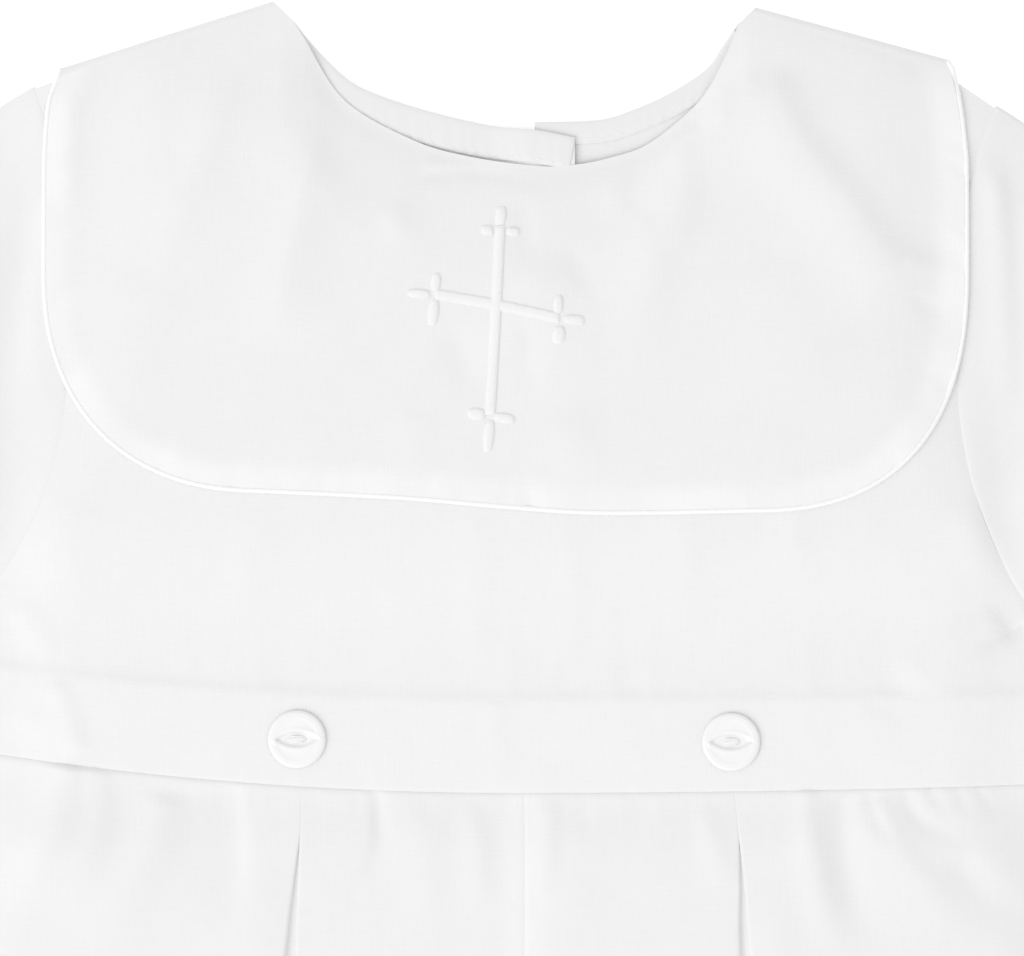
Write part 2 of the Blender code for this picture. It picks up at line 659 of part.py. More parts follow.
def make_bindings():
    """Bias strips on the inside of the back neck, one on each back."""
    sides = {
        "left": ([BINDING_END["left"], -46.0] + BACK_NECK_LEFT, left_back_height),
        "right": (BACK_NECK_RIGHT + [BINDING_END["right"]], back_height),
    }
    for name, (xs, height) in sides.items():
        edge = [(x, neck(BACK_NECK[name], x)) for x in xs]
        columns = []
        for index, here in enumerate(edge):
            before, after = edge[max(0, index - 1)], edge[min(len(edge) - 1, index + 1)]
            run = math.dist(before, after)
            across = (-(after[1] - before[1]) / run, (after[0] - before[0]) / run)
            if abs(here[0]) < LAP_LEFT_EDGE + 1:
                across = (0.0, 1.0)
            spots = [tuple(h + a * BINDING_WIDTH[name] * part for h, a in zip(here, across))
                     for part in (0.0, 0.5, 1.0)]
            columns.append([(x, d, height(x, d) + LAYER) for x, d in spots])
        sheet(f"neck_binding_{name}", columns)


# Sleeves
def make_sleeve(name):
    """Short sleeve laid flat: a tube whose two layers meet in round folds at top and bottom."""
    shoulder = SHOULDERS[name]
    side = shoulder["side"]
    length = 7
    root = inset(at_parts(armhole_path(shoulder), ARMHOLE_PARTS), side * GAP * 1.2)
    hem_top, hem_low = SLEEVE_HEMS[name]
    loops = []
    for step in range(length + 1):
        u = step / length
        run = []
        for start, v in zip(root, ARMHOLE_PARTS):
            straight = mix(start, mix(hem_top, hem_low, v), u)
            bulge = 3.0 * math.sin(math.pi * v) * smooth(0.4, 1.0, u)
            run.append((straight[0] + side * bulge, straight[1]))
        lower = [back_height(x, d) for x, d in run]
        upper = []
        for (x, d), v in zip(run, ARMHOLE_PARTS):
            puff = SLEEVE_PUFF * smooth(109.0, 126.0, abs(x)) * smooth(0.0, 0.3, min(v, 1 - v))
            seam = front_height(x, d) if abs(x) < 118.0 else back_height(x, d) + LAYER
            upper.append(seam + puff)
        top_turn = turned_edge(run[0], run[1], lower[0], upper[0])
        low_turn = turned_edge(run[-1], run[-2], upper[-1], lower[-1])
        front = [(x, d, z) for (x, d), z in zip(run, upper)]
        back = [(x, d, z) for (x, d), z in zip(run, lower)]
        loops.append(back[::-1] + top_turn + front + low_turn + [back[-1]])
    columns = [[loop[index] for loop in loops] for index in range(len(loops[0]))]
    sheet(f"sleeve_{name}", columns, tube=True)


def turned_edge(edge, inside, start_z, end_z):
    """Points of the half round by which one layer turns into the other, its ends left out."""
    run = math.dist(edge, inside)
    out = tuple((e - i) / run for e, i in zip(edge, inside))
    radius = abs(end_z - start_z) / 2
    points = []
    for step in range(1, 5):
        angle = math.pi * step / 5
        x, d = (e + o * radius * math.sin(angle) for e, o in zip(edge, out))
        points.append((x, d, mix(start_z, end_z, (1 - math.cos(angle)) / 2)))
    return points


# Waistband and buttons
def make_waistbands():
    """Front and back of the waistband, edge to edge with the bodice and the legs."""
    for name, height in (("front", lambda x, d: front_height(x, d) + WAIST_PROUD),
                         ("back", back_height)):
        columns = []
        for step in range(19):
            part = step / 18
            x = mix(-side_seam(165.0), side_seam(165.0), part)
            columns.append([(x, mix(waist(WAIST_TOP, x), waist(WAIST_BOTTOM, x), row / 3))
                            for row in range(4)])
        sheet(f"waistband_{name}", raised(columns, height))


def cutter(name, piece):
    """Cuts the shape of one object out of another."""
    shape = bpy.context.active_object
    shape.name = name
    for collection in list(shape.users_collection):
        collection.objects.unlink(shape)
    cutters.objects.link(shape)
    shape.hide_render = True
    shape.display_type = "WIRE"
    cut = piece.modifiers.new(name, "BOOLEAN")
    cut.operation = "DIFFERENCE"
    cut.solver = "EXACT"
    cut.object = shape


def make_button(name):
    """Fish-eye button: a round disc with a bevelled rim, a lens-shaped hollow and two holes."""
    x, d = BUTTONS[name]
    half, height = BUTTON_WIDTH / 2, BUTTON_HEIGHT
    rest = max(front_height(x + dx, d) for dx in (-half, 0.0, half)) + WAIST_PROUD
    base = rest + WALL / 2 + GAP
    profile = [(0.0, height - BUTTON_FACE)]
    profile += [(half - inward, height - down) for inward, down in BUTTON_RIM]
    profile += [(half - inward, up) for inward, up in BUTTON_FOOT] + [(0.0, 0.0)]
    mesh = bpy.data.meshes.new(f"button_{name}")
    mesh.from_pydata([(px / 1000, 0.0, pz / 1000) for px, pz in profile],
                     [(i, i + 1) for i in range(len(profile) - 1)], [])
    piece = bpy.data.objects.new(f"button_{name}", mesh)
    garment.objects.link(piece)
    piece.location = point(x, d, base)
    piece.data.materials.append(finish(f"button_{name}_gloss", WHITE_BUTTON, 0.15))
    turn = piece.modifiers.new("turn", "SCREW")
    turn.steps = 24
    turn.render_steps = 24
    turn.use_merge_vertices = True
    turn.merge_threshold = 1e-5
    eye_centre = base + height - BUTTON_FACE + BUTTON_EYE["above"]
    bpy.ops.mesh.primitive_uv_sphere_add(segments=16, ring_count=8, radius=0.001,
                                         location=point(x, d, eye_centre))
    eye = bpy.context.active_object
    eye.scale = [BUTTON_EYE[key] for key in ("half_length", "half_width", "depth")]
    cutter(f"button_{name}_eye", piece)
    for place, way in (("near", -1), ("far", 1)):
        spot = point(x + way * BUTTON_HOLES["apart"], d, base + height / 2)
        bpy.ops.mesh.primitive_cylinder_add(vertices=8, radius=BUTTON_HOLES["radius"] / 1000,
                                            depth=4 * height / 1000, location=spot)
        cutter(f"button_{name}_hole_{place}", piece)


# Legs
def leg_point(name, f, v):
    """Plan point of a leg: f runs from its inner edge to the side seam, v from waist to hem."""
    side = SHOULDERS[name]["side"]

    def waist_point(part):
        x = mix(CENTRE_SEAM + side * GAP / 2, side * side_seam(180.0), part)
        return (x, waist(WAIST_BOTTOM, x) + GAP)

    def hem_point(part):
        return (mix(CENTRE_SEAM + side * inseam(LENGTH), side * side_seam(LENGTH), part),
                mix(LENGTH, HEM_OUTER, part ** 1.5))

    def inner_point(part):
        d = mix(waist_point(0.0)[1], LENGTH, part)
        return (CENTRE_SEAM + side * inseam(d), d)

    def outer_point(part):
        d = mix(waist_point(1.0)[1], HEM_OUTER, part)
        return (side * side_seam(d), d)

    straight = mix(waist_point(f), hem_point(f), v)
    pull_in = [a - b for a, b in zip(inner_point(v), mix(waist_point(0.0), hem_point(0.0), v))]
    pull_out = [a - b for a, b in zip(outer_point(v), mix(waist_point(1.0), hem_point(1.0), v))]
    return tuple(p + (1 - f) * a + f * b for p, a, b in zip(straight, pull_in, pull_out))


def leg_crown(x, d):
    """How far the front of a leg stands above its seams."""
    amount = mix(LEG_CROWN["waist"], LEG_CROWN["below"], smooth(*LEG_CROWN["grows"], d))
    amount *= mix(1.0, LEG_CROWN["hem"], smooth(*LEG_CROWN["falls"], d))
    side = smooth(0.0, LEG_CROWN["side"], side_seam(d) - abs(x))
    inner = math.hypot(max(0.0, abs(x - CENTRE_SEAM) - inseam(d) * (d > CROTCH)),
                       max(0.0, CROTCH - d))
    return amount * side * smooth(0.0, LEG_CROWN["inner"], inner)


def trough(folds, place, d, width):
    """Depth of the listed folds at one place between two edges of a leg's field."""
    depth = 0.0
    for fold in folds:
        top, low = fold["half"]
        half = mix(top, low, smooth(LEG_TOP, fold["faded"], d))
        away = (place - fold["at"]) * width / half
        depth += fold["depth"] * math.exp(-away * away) * (1.0 - smooth(0.5, 1.0, fade(fold, d)))
    return depth


def fade(fold, d):
    """0 at the waist and 1 where a fold has faded."""
    return (d - LEG_TOP) / (fold["faded"] - LEG_TOP)


def field_places(folds):
    """Places of a field's columns: at each fold, beside it and half way to the next."""
    stops = sorted([0.0, 1.0] + [fold["at"] for fold in folds])
    if len(folds) > 3:
        close = [mix(a, b, part) for a, b in zip(stops, stops[1:]) if b - a < 0.12
                 for part in (0.33, 0.67)]
        stops = sorted(stops + close)
    extra = []
    for fold in folds:
        for shift in (-0.035, 0.035):
            place = fold["at"] + shift
            if min(abs(place - stop) for stop in stops) > 0.02:
                extra.append(place)
    return spread(sorted(stops + extra), 0.13)


def drift(folds, place):
    """How far a column moves across by the photo's lower edge, read between the folds."""
    marks = sorted([(0.0, 0.0), (1.0, 0.0)] + [(fold["at"], fold["drift"]) for fold in folds])
    for (a, low), (b, high) in zip(marks, marks[1:]):
        if place <= b:
            return mix(low, high, (place - a) / (b - a))
    return 0.0


def pleat_profile(d, room):
    """Cross-section of an inverted pleat, as (sideways, down) from its middle."""
    half, round_, floor = (between(PLEAT_SHAPE, key, d) for key in ("half", "corner", "floor"))
    depth = min(between(PLEAT_SHAPE, "depth", d), room)
    drop = min(round_, 0.42 * depth)
    sole = min(floor, 0.42 * depth)
    lip = []
    for step in range(4):
        angle = math.pi / 2 * step / 3
        lip.append((-(half + round_) + round_ * math.sin(angle), drop * (1 - math.cos(angle))))
    base = []
    for step in range(6):
        angle = math.pi * step / 5
        base.append((-floor * math.cos(angle), depth - sole + sole * math.sin(angle)))
    return lip + base + [(-x, z) for x, z in lip[::-1]]


LEG_ROWS = [0.0, 0.02, 0.05, 0.09, 0.13, 0.17, 0.23, 0.31, 0.42, 0.57, 0.735, 0.8, 0.87, 1.0]
BACK_LEG_ROWS = [0.0, 0.1, 0.25, 0.45, 0.735, 0.8, 0.87, 1.0]


def make_front_leg(name):
    """Front of a leg with its pleat, tucks and gathers."""
    side = SHOULDERS[name]["side"]
    pleat = PLEATS[name]
    inner_folds, outer_folds = LEG_FOLDS[name]["inner"], LEG_FOLDS[name]["outer"]
    inner_places, outer_places = field_places(inner_folds), field_places(outer_folds)
    rows = []
    for v in LEG_ROWS:
        middle = mix(pleat["waist"], pleat["low"], smooth(0.0, 0.17, v))
        px, pd = leg_point(name, middle, v)
        seam = FLOOR + LAYER
        crown = leg_crown(px, pd)
        profile = pleat_profile(pd, crown - 0.1)
        reach = -profile[0][0]
        width = abs(leg_point(name, 1.0, v)[0] - leg_point(name, 0.0, v)[0])
        near, far = middle - reach / width, middle + reach / width
        row = []
        moved = smooth(0.0, 0.17, v)
        for place in inner_places[:-1]:
            now = place + drift(inner_folds, place) * moved
            x, d = leg_point(name, near * now, v)
            high = leg_crown(x, d)
            drop = min(trough(inner_folds, place, d, near * width), high * 0.85)
            row.append((x, d, seam + high - drop))
        for shift, down in profile:
            x, d = leg_point(name, middle + shift / width, v)
            row.append((x, d, seam + crown - down))
        for place in outer_places[1:]:
            now = place + drift(outer_folds, place) * moved
            x, d = leg_point(name, mix(far, 1.0, now), v)
            high = leg_crown(x, d)
            drop = min(trough(outer_folds, place, d, (1 - far) * width), high * 0.85)
            row.append((x, d, seam + high - drop))
        rows.append(row)
    columns = [[row[index] for row in rows] for index in range(len(rows[0]))]
    sheet(f"front_leg_{name}", columns)


def make_back_leg(name):
    """Back of a leg, flat where the garment lies on it."""
    columns = []
    for step in range(7):
        plan = [leg_point(name, step / 6, v) for v in BACK_LEG_ROWS]
        columns.append([(x, d, FLOOR) for x, d in plan])
    sheet(f"back_leg_{name}", columns)


for old in list(bpy.data.objects):
    bpy.data.objects.remove(old, do_unlink=True)
garment = bpy.data.collections.new("baptism_romper")
cutters = bpy.data.collections.new("cutters")
bpy.context.scene.collection.children.link(garment)
bpy.context.scene.collection.children.link(cutters)

make_collar()
make_piping()
make_front_bodice()
make_back_bodice()
make_bindings()
make_waistbands()
for half_name in SHOULDERS:
    make_sleeve(half_name)
    make_button(half_name)
    make_front_leg(half_name)
    make_back_leg(half_name)
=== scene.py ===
"""Looks of a white baptism romper for a baby, laid flat on its back with its front up.

Lengths are in millimetres on the laid-out garment until a mesh is made: x runs across it, d runs
down it from the top of the shoulders, z is the height above the surface. Left and right are those
of someone who looks at its front.
"""
import math

import bmesh
import bpy
import numpy as np
from mathutils import Matrix


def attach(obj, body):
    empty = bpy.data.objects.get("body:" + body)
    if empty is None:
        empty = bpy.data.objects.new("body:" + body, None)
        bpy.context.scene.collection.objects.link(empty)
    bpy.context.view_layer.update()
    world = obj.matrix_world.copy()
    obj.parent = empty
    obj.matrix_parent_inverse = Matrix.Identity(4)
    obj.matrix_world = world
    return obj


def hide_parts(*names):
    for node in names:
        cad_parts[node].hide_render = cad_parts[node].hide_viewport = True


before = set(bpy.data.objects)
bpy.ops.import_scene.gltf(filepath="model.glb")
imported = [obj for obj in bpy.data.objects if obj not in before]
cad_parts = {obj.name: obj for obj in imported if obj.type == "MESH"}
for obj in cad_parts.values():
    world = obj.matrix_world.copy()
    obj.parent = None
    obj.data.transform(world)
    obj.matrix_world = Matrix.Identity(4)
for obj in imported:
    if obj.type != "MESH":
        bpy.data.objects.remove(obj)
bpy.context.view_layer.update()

# Surface, light and camera: a white table that glows a little, an even studio light with one large
# soft box at the lower left, and a camera straight above the upper part of the garment.
VIEW_CENTRE = (0.0, 0.0934)
VIEW_WIDTH = 0.2327
LENS = 200.0
SENSOR = 36.0
CLOTH_TOP = 0.005
TABLE_SIZE = 14.0
TABLE_DROP = -0.0001
TABLE_GLOW = 0.35
ROOM_LIGHT = 0.85
BOX_PLACE = (-2.15, -1.55, 2.65)
BOX_SIZE = 2.8
BOX_POWER = 58.0
WHITE = (1.0, 1.0, 1.0, 1.0)


def new_finish(name, values):
    """New material, and its shader with some values set."""
    material = bpy.data.materials.new(name)
    material.use_nodes = True
    shader = material.node_tree.nodes["Principled BSDF"]
    for key, value in values.items():
        shader.inputs[key].default_value = value
    return material, shader


scene = bpy.context.scene
scene.view_settings.view_transform = "Standard"
bpy.ops.object.select_all(action="DESELECT")
bpy.ops.mesh.primitive_plane_add(size=TABLE_SIZE, location=(0.0, 0.0, TABLE_DROP))
table = bpy.context.active_object
table.name = "table"
table.data.materials.append(new_finish("table_white", {
    "Base Color": (0.93, 0.93, 0.93, 1.0), "Roughness": 0.9, "Emission Color": WHITE,
    "Emission Strength": TABLE_GLOW})[0])

scene.world = bpy.data.worlds.new("studio")
scene.world.use_nodes = True
room = scene.world.node_tree.nodes["Background"]
room.inputs["Color"].default_value = WHITE
room.inputs["Strength"].default_value = ROOM_LIGHT

bpy.ops.object.light_add(type="AREA", location=BOX_PLACE)
soft_box = bpy.context.active_object
soft_box.name = "soft_box"
soft_box.data.shape = "SQUARE"
soft_box.data.size = BOX_SIZE
soft_box.data.energy = BOX_POWER
soft_box.visible_camera = False
soft_box.rotation_euler = soft_box.location.to_track_quat("Z", "Y").to_euler()

bpy.ops.object.camera_add(location=(*VIEW_CENTRE, CLOTH_TOP + VIEW_WIDTH * LENS / SENSOR))
camera = bpy.context.active_object
camera.name = "camera"
camera.data.lens = LENS
camera.data.sensor_width = SENSOR
camera.data.clip_end = 100.0
scene.camera = camera


# Back of the bodice: two pieces of fine white cotton that lap at the centre back, the left one over
# the right. They lie on the back halves of the collar and are sewn to the front at the shoulders.
LENGTH = 404.0
CAD_WALL = 1.0
GAP = 0.3
LAYER = CAD_WALL + GAP
CLOTH = 0.4
PLY = 0.6
PIPING = 1.2
PIPING_HEIGHT = 0.7
PIPING_EDGE = PIPING + GAP
COLLAR_LIFT = PIPING_HEIGHT + PIPING / 2 + GAP
COLLAR_REACH = 14.0
NECK_FRONT = [
    (-52.5, 1.0), (-50.0, 4.2), (-47.5, 8.2), (-38.2, 22.6), (-22.3, 31.8), (-9.1, 35.6), (6.0, 37.6),
    (14.3, 37.3), (22.3, 35.7), (31.4, 32.3), (42.7, 22.7), (48.2, 13.4), (52.3, 3.6), (54.0, 1.0)]
NECK_BACK = {
    "left": [(-52.5, 0.6), (-50.0, 4.1), (-45.9, 9.5), (-37.7, 17.7), (-29.5, 21.8), (-17.3, 25.6),
             (-5.0, 28.4), (5.0, 29.4), (14.3, 31.2)],
    "right": [(5.2, 27.6), (19.5, 27.2), (27.7, 24.8), (35.9, 21.1), (44.1, 15.7), (48.2, 10.0),
              (52.3, 3.9), (54.0, 1.4)],
}
NECK_ENDS = {"left": -49.5, "right": 51.5}
LAP_LEFT_EDGE = 14.3
LAP_RIGHT_EDGE = 5.2
LAP_START = -6.0
SHOULDERS = {
    "left": {"side": -1, "neck": (-54.5, 0.0), "outer": (-101.8, 14.95),
             "tip": (-108.5, 20.0), "underarm": (-119.0, 134.0)},
    "right": {"side": 1, "neck": (55.5, 1.35), "outer": (98.4, 13.0),
              "tip": (110.0, 24.5), "underarm": (120.0, 141.0)},
}
ARMHOLE_REACH = 101.0
ARMHOLE_NARROW = (65.0, 75.0)
BACK_COLLAR_HALF = 104.0
BACK_COLLAR_BOTTOM = 105.0
COLLAR_REST = 16.0
COLLAR_CLEAR = 1.0
COLLAR_LEAN = 1.6
NECK_LEAN = 1.3
WAIST_TOP = {"middle": 159.3, "left": 7.3, "right": 1.0}
WAIST_REACH = 116.0
SIDE_SEAM = np.array([
    (134.0, 119.0), (152.0, 118.0), (180.0, 120.0), (200.0, 127.0), (225.0, 132.5),
    (250.0, 136.0), (300.0, 140.0), (345.0, 142.0), (404.0, 142.5)])
ARMHOLE_SHARE = 0.86
SEAM_STOPS = (0.3, 0.7, 1.2, 1.9, 2.8)
SOFT_ANGLE = math.radians(62)
FRONT_CROWN = {"height": 1.6, "near": (78.0, 98.0), "far": (100.0, 118.0)}
NECK_DROP = {"depth": 2.1, "reach": 28.0}
LAP_HOLD = {"height": 0.5, "at": 4.0, "half": 16.0}


def ease(start, end, value):
    """0 before start, 1 after end, and a soft step between them."""
    part = np.clip((value - start) / (end - start), 0.0, 1.0)
    return part * part * (3.0 - 2.0 * part)


def mix(first, second, part):
    """Number or point that lies part of the way from first to second."""
    return np.asarray(first, float) + (np.asarray(second, float) - np.asarray(first, float)) * part


def bell(away, half, power=2):
    """1 at no distance, dying out softly beyond half."""
    return np.exp(-((away / half) ** power))


def curve_through(points, steps=8):
    """Smooth path through a few points."""
    ends = np.array([points[0], *points, points[-1]], float)
    path = []
    for p, q, r, s in zip(ends, ends[1:], ends[2:], ends[3:]):
        for t in np.arange(steps) / steps:
            path.append(0.5 * (2 * q + (r - p) * t + (2 * p - 5 * q + 4 * r - s) * t * t
                               + (3 * q - p - 3 * r + s) * t ** 3))
    return np.array([*path, ends[-1]])


def distances(path):
    """How far along a path each of its points lies."""
    return np.concatenate([[0.0], np.cumsum(np.linalg.norm(np.diff(path, axis=0), axis=1))])


def along(path, parts):
    """Points at parts, from 0 to 1, of a path's length."""
    path = np.asarray(path, float)
    reach = distances(path)
    want = np.asarray(parts, float) * reach[-1]
    return np.stack([np.interp(want, reach, path[:, axis]) for axis in range(path.shape[1])], axis=1)


def even(path, count):
    """The path as count stretches of one length."""
    return along(path, np.linspace(0.0, 1.0, count + 1))


def stops(length, step, fine=()):
    """Places from 0 to 1 along a length, step apart, and closer beside the seams that fine lists."""
    plain = np.linspace(0.0, length, math.ceil(length / step) + 1)
    marks = [mark for mark in plain if all(abs(mark - seam) > SEAM_STOPS[-1] + 0.3 for seam in fine)]
    close = [seam + way * stop for seam in fine for way in (-1, 1) for stop in (0.0, *SEAM_STOPS)]
    marks += [mark for mark in close if 0.0 <= mark <= length]
    return np.unique(np.round(marks + [0.0, length], 3)) / length


def neck(edge, x):
    """d of a neck edge at x, on the smooth path through its places."""
    path = curve_through(edge)
    return np.interp(x, path[:, 0], path[:, 1])


def waist(edge, x):
    """d of one edge of the waistband at x."""
    x = np.asarray(x, float)
    return edge["middle"] - np.where(x < 0, edge["left"], edge["right"]) * (x / WAIST_REACH) ** 2


def side_seam(d):
    """Half width of the garment at the side seam."""
    return np.interp(d, SIDE_SEAM[:, 0], SIDE_SEAM[:, 1])


def armhole_path(shoulder):
    """Armhole from its tip at the shoulder to the point under the arm."""
    tip, low = np.abs(shoulder["tip"]), np.abs(shoulder["underarm"])
    upper, lower = ARMHOLE_NARROW
    d = np.linspace(tip[1], low[1], 81)
    above = (tip[0] - ARMHOLE_REACH) * (np.clip(upper - d, 0.0, None) / (upper - tip[1])) ** 2
    below = (low[0] - ARMHOLE_REACH) * (np.clip(d - lower, 0.0, None) / (low[1] - lower)) ** 2.6
    return np.stack([shoulder["side"] * (ARMHOLE_REACH + above + below), d], axis=1)


def lift(x, d):
    """Height that the collar's back halves and their piping give to the back of the garment."""
    below = np.maximum(0.0, d - BACK_COLLAR_BOTTOM - COLLAR_REST)
    away = np.hypot(np.maximum(0.0, np.abs(x) - BACK_COLLAR_HALF), below)
    return COLLAR_LIFT * (1.0 - ease(0.0, COLLAR_REACH, away))


def back_level(x, d):
    """Middle of the back layer's cloth, which rests with its underside on the table."""
    return CLOTH / 2 + lift(x, d)


def left_back_level(x, d):
    """Middle of the left back's cloth, which climbs over the right back and its binding."""
    over = PLY + PLY * (1.0 - ease(36.5, 41.0, d))
    return back_level(x, d) + over * ease(LAP_START, LAP_RIGHT_EDGE - GAP, x)


def front_level(x, d):
    """Middle of the front layer's cloth, without its creases. It lies closest at the neck."""
    low = ease(60.0, 134.0, d)
    near, far = mix(*FRONT_CROWN["near"], low), mix(*FRONT_CROWN["far"], low)
    crown = FRONT_CROWN["height"] * (1.0 - ease(0.0, 1.0, (np.abs(x) - near) / (far - near)))
    aside = np.maximum(0.0, np.abs(x) - BACK_COLLAR_HALF)
    below = np.maximum(0.0, d - 98.0) * 0.25
    span = COLLAR_LIFT * (1.0 - ease(0.0, COLLAR_REACH, np.hypot(aside, below)))
    held = LAP_HOLD["height"] * bell(x - LAP_HOLD["at"], LAP_HOLD["half"])
    drop = (NECK_DROP["depth"] - held) * (1.0 - ease(0.0, NECK_DROP["reach"], d - neck(NECK_FRONT, x)))
    return CAD_WALL / 2 + span + LAYER + crown - drop


def fold_directions(shoulder):
    """Unit vectors along a shoulder's fold and square to it, out of the garment."""
    run = np.subtract(shoulder["outer"], shoulder["neck"])
    run = run / np.linalg.norm(run)
    out = np.array([run[1], -run[0]]) * shoulder["side"]
    return run, out


def fold_centre(shoulder, part):
    """Plan point round which the collar turns, and its radius there."""
    run, out = fold_directions(shoulder)
    edge = mix(shoulder["neck"], shoulder["outer"], part)
    top = front_level(edge[0], edge[1] + 3.0) + COLLAR_CLEAR
    radius = (top - CAD_WALL / 2) / 2
    shift = COLLAR_LEAN * part ** 4 - NECK_LEAN * (1.0 - part) ** 4
    return edge - out * (radius + CAD_WALL / 2) + run * shift, radius


def shoulder_edge(shoulder, count):
    """Bodice's shoulder edge from the armhole's tip to the neck, inside the collar's fold."""
    run, _ = fold_directions(shoulder)
    middle = [fold_centre(shoulder, 1.0 - step / 10)[0] for step in range(1, 10)]
    neck_end = fold_centre(shoulder, 0.0)[0] + run * 0.8
    return even([shoulder["tip"], *middle, neck_end], count)


def side_edge(shoulder, parts):
    """Armhole and side seam down to the waistband, at parts of the bodice's height."""
    side = shoulder["side"]
    end_x = side * side_seam(waist(WAIST_TOP, side * 118.0))
    end = np.array([end_x, waist(WAIST_TOP, end_x) - 0.1])
    upper = along(armhole_path(shoulder), np.minimum(parts / ARMHOLE_SHARE, 1.0))
    lower = mix(upper[-1], end, np.clip((parts - ARMHOLE_SHARE) / (1 - ARMHOLE_SHARE), 0, 1)[:, None])
    return np.where((parts <= ARMHOLE_SHARE)[:, None], upper, lower)


def filled(top, bottom, left, right, parts):
    """Columns of plan points between four edges, with rows at parts."""
    top, bottom = np.asarray(top, float), np.asarray(bottom, float)
    u = np.linspace(0.0, 1.0, len(top))[:, None, None]
    v = np.asarray(parts, float)[None, :, None]
    straight = mix(top[:, None], bottom[:, None], v)
    pull_left = left[None] - mix(left[0], left[-1], v)
    pull_right = right[None] - mix(right[0], right[-1], v)
    plan = straight + (1 - u) ** 3 * pull_left + u ** 3 * pull_right
    return plan[..., 0], plan[..., 1]


class Wire:
    """A socket among one finish's nodes. Sums written with it add Math nodes."""

    def __init__(self, tree, socket=None):
        self.tree, self.socket = tree, socket

    def node(self, kind, settings=None, values=None, output=0):
        """New node of a kind, its settings first, then the values or wires of its sockets."""
        made = self.tree.nodes.new(kind)
        for key, value in (settings or {}).items():
            setattr(made, key, value)
        for key, value in (values or {}).items():
            if isinstance(value, Wire):
                self.tree.links.new(value.socket, made.inputs[key])
            else:
                made.inputs[key].default_value = value
        return Wire(self.tree, made.outputs[output])

    def maths(self, operation, first, second=0.0):
        return self.node("ShaderNodeMath", {"operation": operation}, {0: first, 1: second})

    def __add__(self, other):
        return self.maths("ADD", self, other)

    def __sub__(self, other):
        return self.maths("SUBTRACT", self, other)

    def __rsub__(self, other):
        return self.maths("SUBTRACT", other, self)

    def __mul__(self, other):
        return self.maths("MULTIPLY", self, other)

    __radd__ = __add__
    __rmul__ = __mul__

    def to(self, socket):
        """Leads this wire into a socket of the shader."""
        self.tree.links.new(self.socket, socket)


def cotton(name, single, doubled_and_lit, thread=0.27, relief=0.00005, roughness=0.8):
    """Fine plain-woven cotton: warp and weft, uneven slub threads, whiter where it lies doubled, and with
    painted light and painted shade where the front bodice carries them.
    """
    material, shader = new_finish(name, {
        "Roughness": roughness, "Sheen Weight": 0.15, "Sheen Roughness": 0.5, "Specular IOR Level": 0.3})
    start = Wire(material.node_tree)
    grain = start.node("ShaderNodeUVMap", {"uv_map": "grain"})
    # This attribute whitens the cloth where it lies doubled. On the front bodice it carries painted light
    # and painted shade.
    over = start.node("ShaderNodeAttribute", {"attribute_name": "doubled_and_lit"}, output=2)

    def slubs(scale, detail):
        turned = grain.node("ShaderNodeMapping", values={"Vector": grain, "Scale": scale})
        return grain.node("ShaderNodeTexNoise", {"noise_dimensions": "2D"},
                          {"Vector": turned, "Scale": 1.0, "Detail": detail, "Roughness": 0.6})

    weft = slubs((0.16, 2.3, 1.0), 2.0)
    warp = slubs((2.3, 0.13, 1.0), 2.0)
    cloud = slubs((0.09, 0.07, 1.0), 3.0)
    split = grain.node("ShaderNodeSeparateXYZ", values={"Vector": grain})
    across, down = split, Wire(split.tree, split.socket.node.outputs[1])
    turns = 2 * math.pi / thread
    weave = (across * turns).maths("SINE", across * turns) * down.maths("SINE", down * turns)
    streaks = weft + warp - 1.0
    tone = over * 0.75 + streaks * 0.35 + (cloud - 0.5) * 0.3 + 0.1
    colour = grain.node("ShaderNodeMix", {"data_type": "RGBA", "clamp_factor": True},
                        {0: tone, 6: (*single, 1.0), 7: (*doubled_and_lit, 1.0)}, output=2)
    colour.to(shader.inputs["Base Color"])
    height = weave * 0.08 + streaks * 0.8 + cloud * 0.8
    bump = grain.node("ShaderNodeBump", values={
        "Strength": 1.0, "Distance": relief, "Height": height})
    bump.to(shader.inputs["Normal"])
    return material


# The second tone is for doubled cloth, and also for the painted light on the front bodice.
CLOTH_WHITE = (0.80, 0.80, 0.80)
CLOTH_DOUBLED_AND_LIT = (0.87, 0.87, 0.87)
batiste = cotton("white_batiste", CLOTH_WHITE, CLOTH_DOUBLED_AND_LIT)


def choose(piece):
    """Makes one piece the active one and the only one selected."""
    bpy.ops.object.select_all(action="DESELECT")
    bpy.context.view_layer.objects.active = piece
    piece.select_set(True)


def add_piece(name, points, faces, finish, grain=None):
    """New piece from (x, d, z) corners and faces, with the UV map of its weave where it has one."""
    points = np.asarray(points, float).reshape(-1, 3)
    places = np.stack([points[:, 0], LENGTH / 2 - points[:, 1], points[:, 2]], axis=1) / 1000.0
    mesh = bpy.data.meshes.new(name)
    mesh.from_pydata(places.tolist(), [], faces)
    if grain is not None:
        corner = np.empty(len(mesh.loops), int)
        mesh.loops.foreach_get("vertex_index", corner)
        mesh.uv_layers.new(name="grain").data.foreach_set(
            "uv", grain.reshape(-1, 2)[corner].astype(np.float32).ravel())
    mesh.shade_smooth()
    mesh.materials.append(finish)
    piece = bpy.data.objects.new(name, mesh)
    scene.collection.objects.link(piece)
    choose(piece)
    return piece


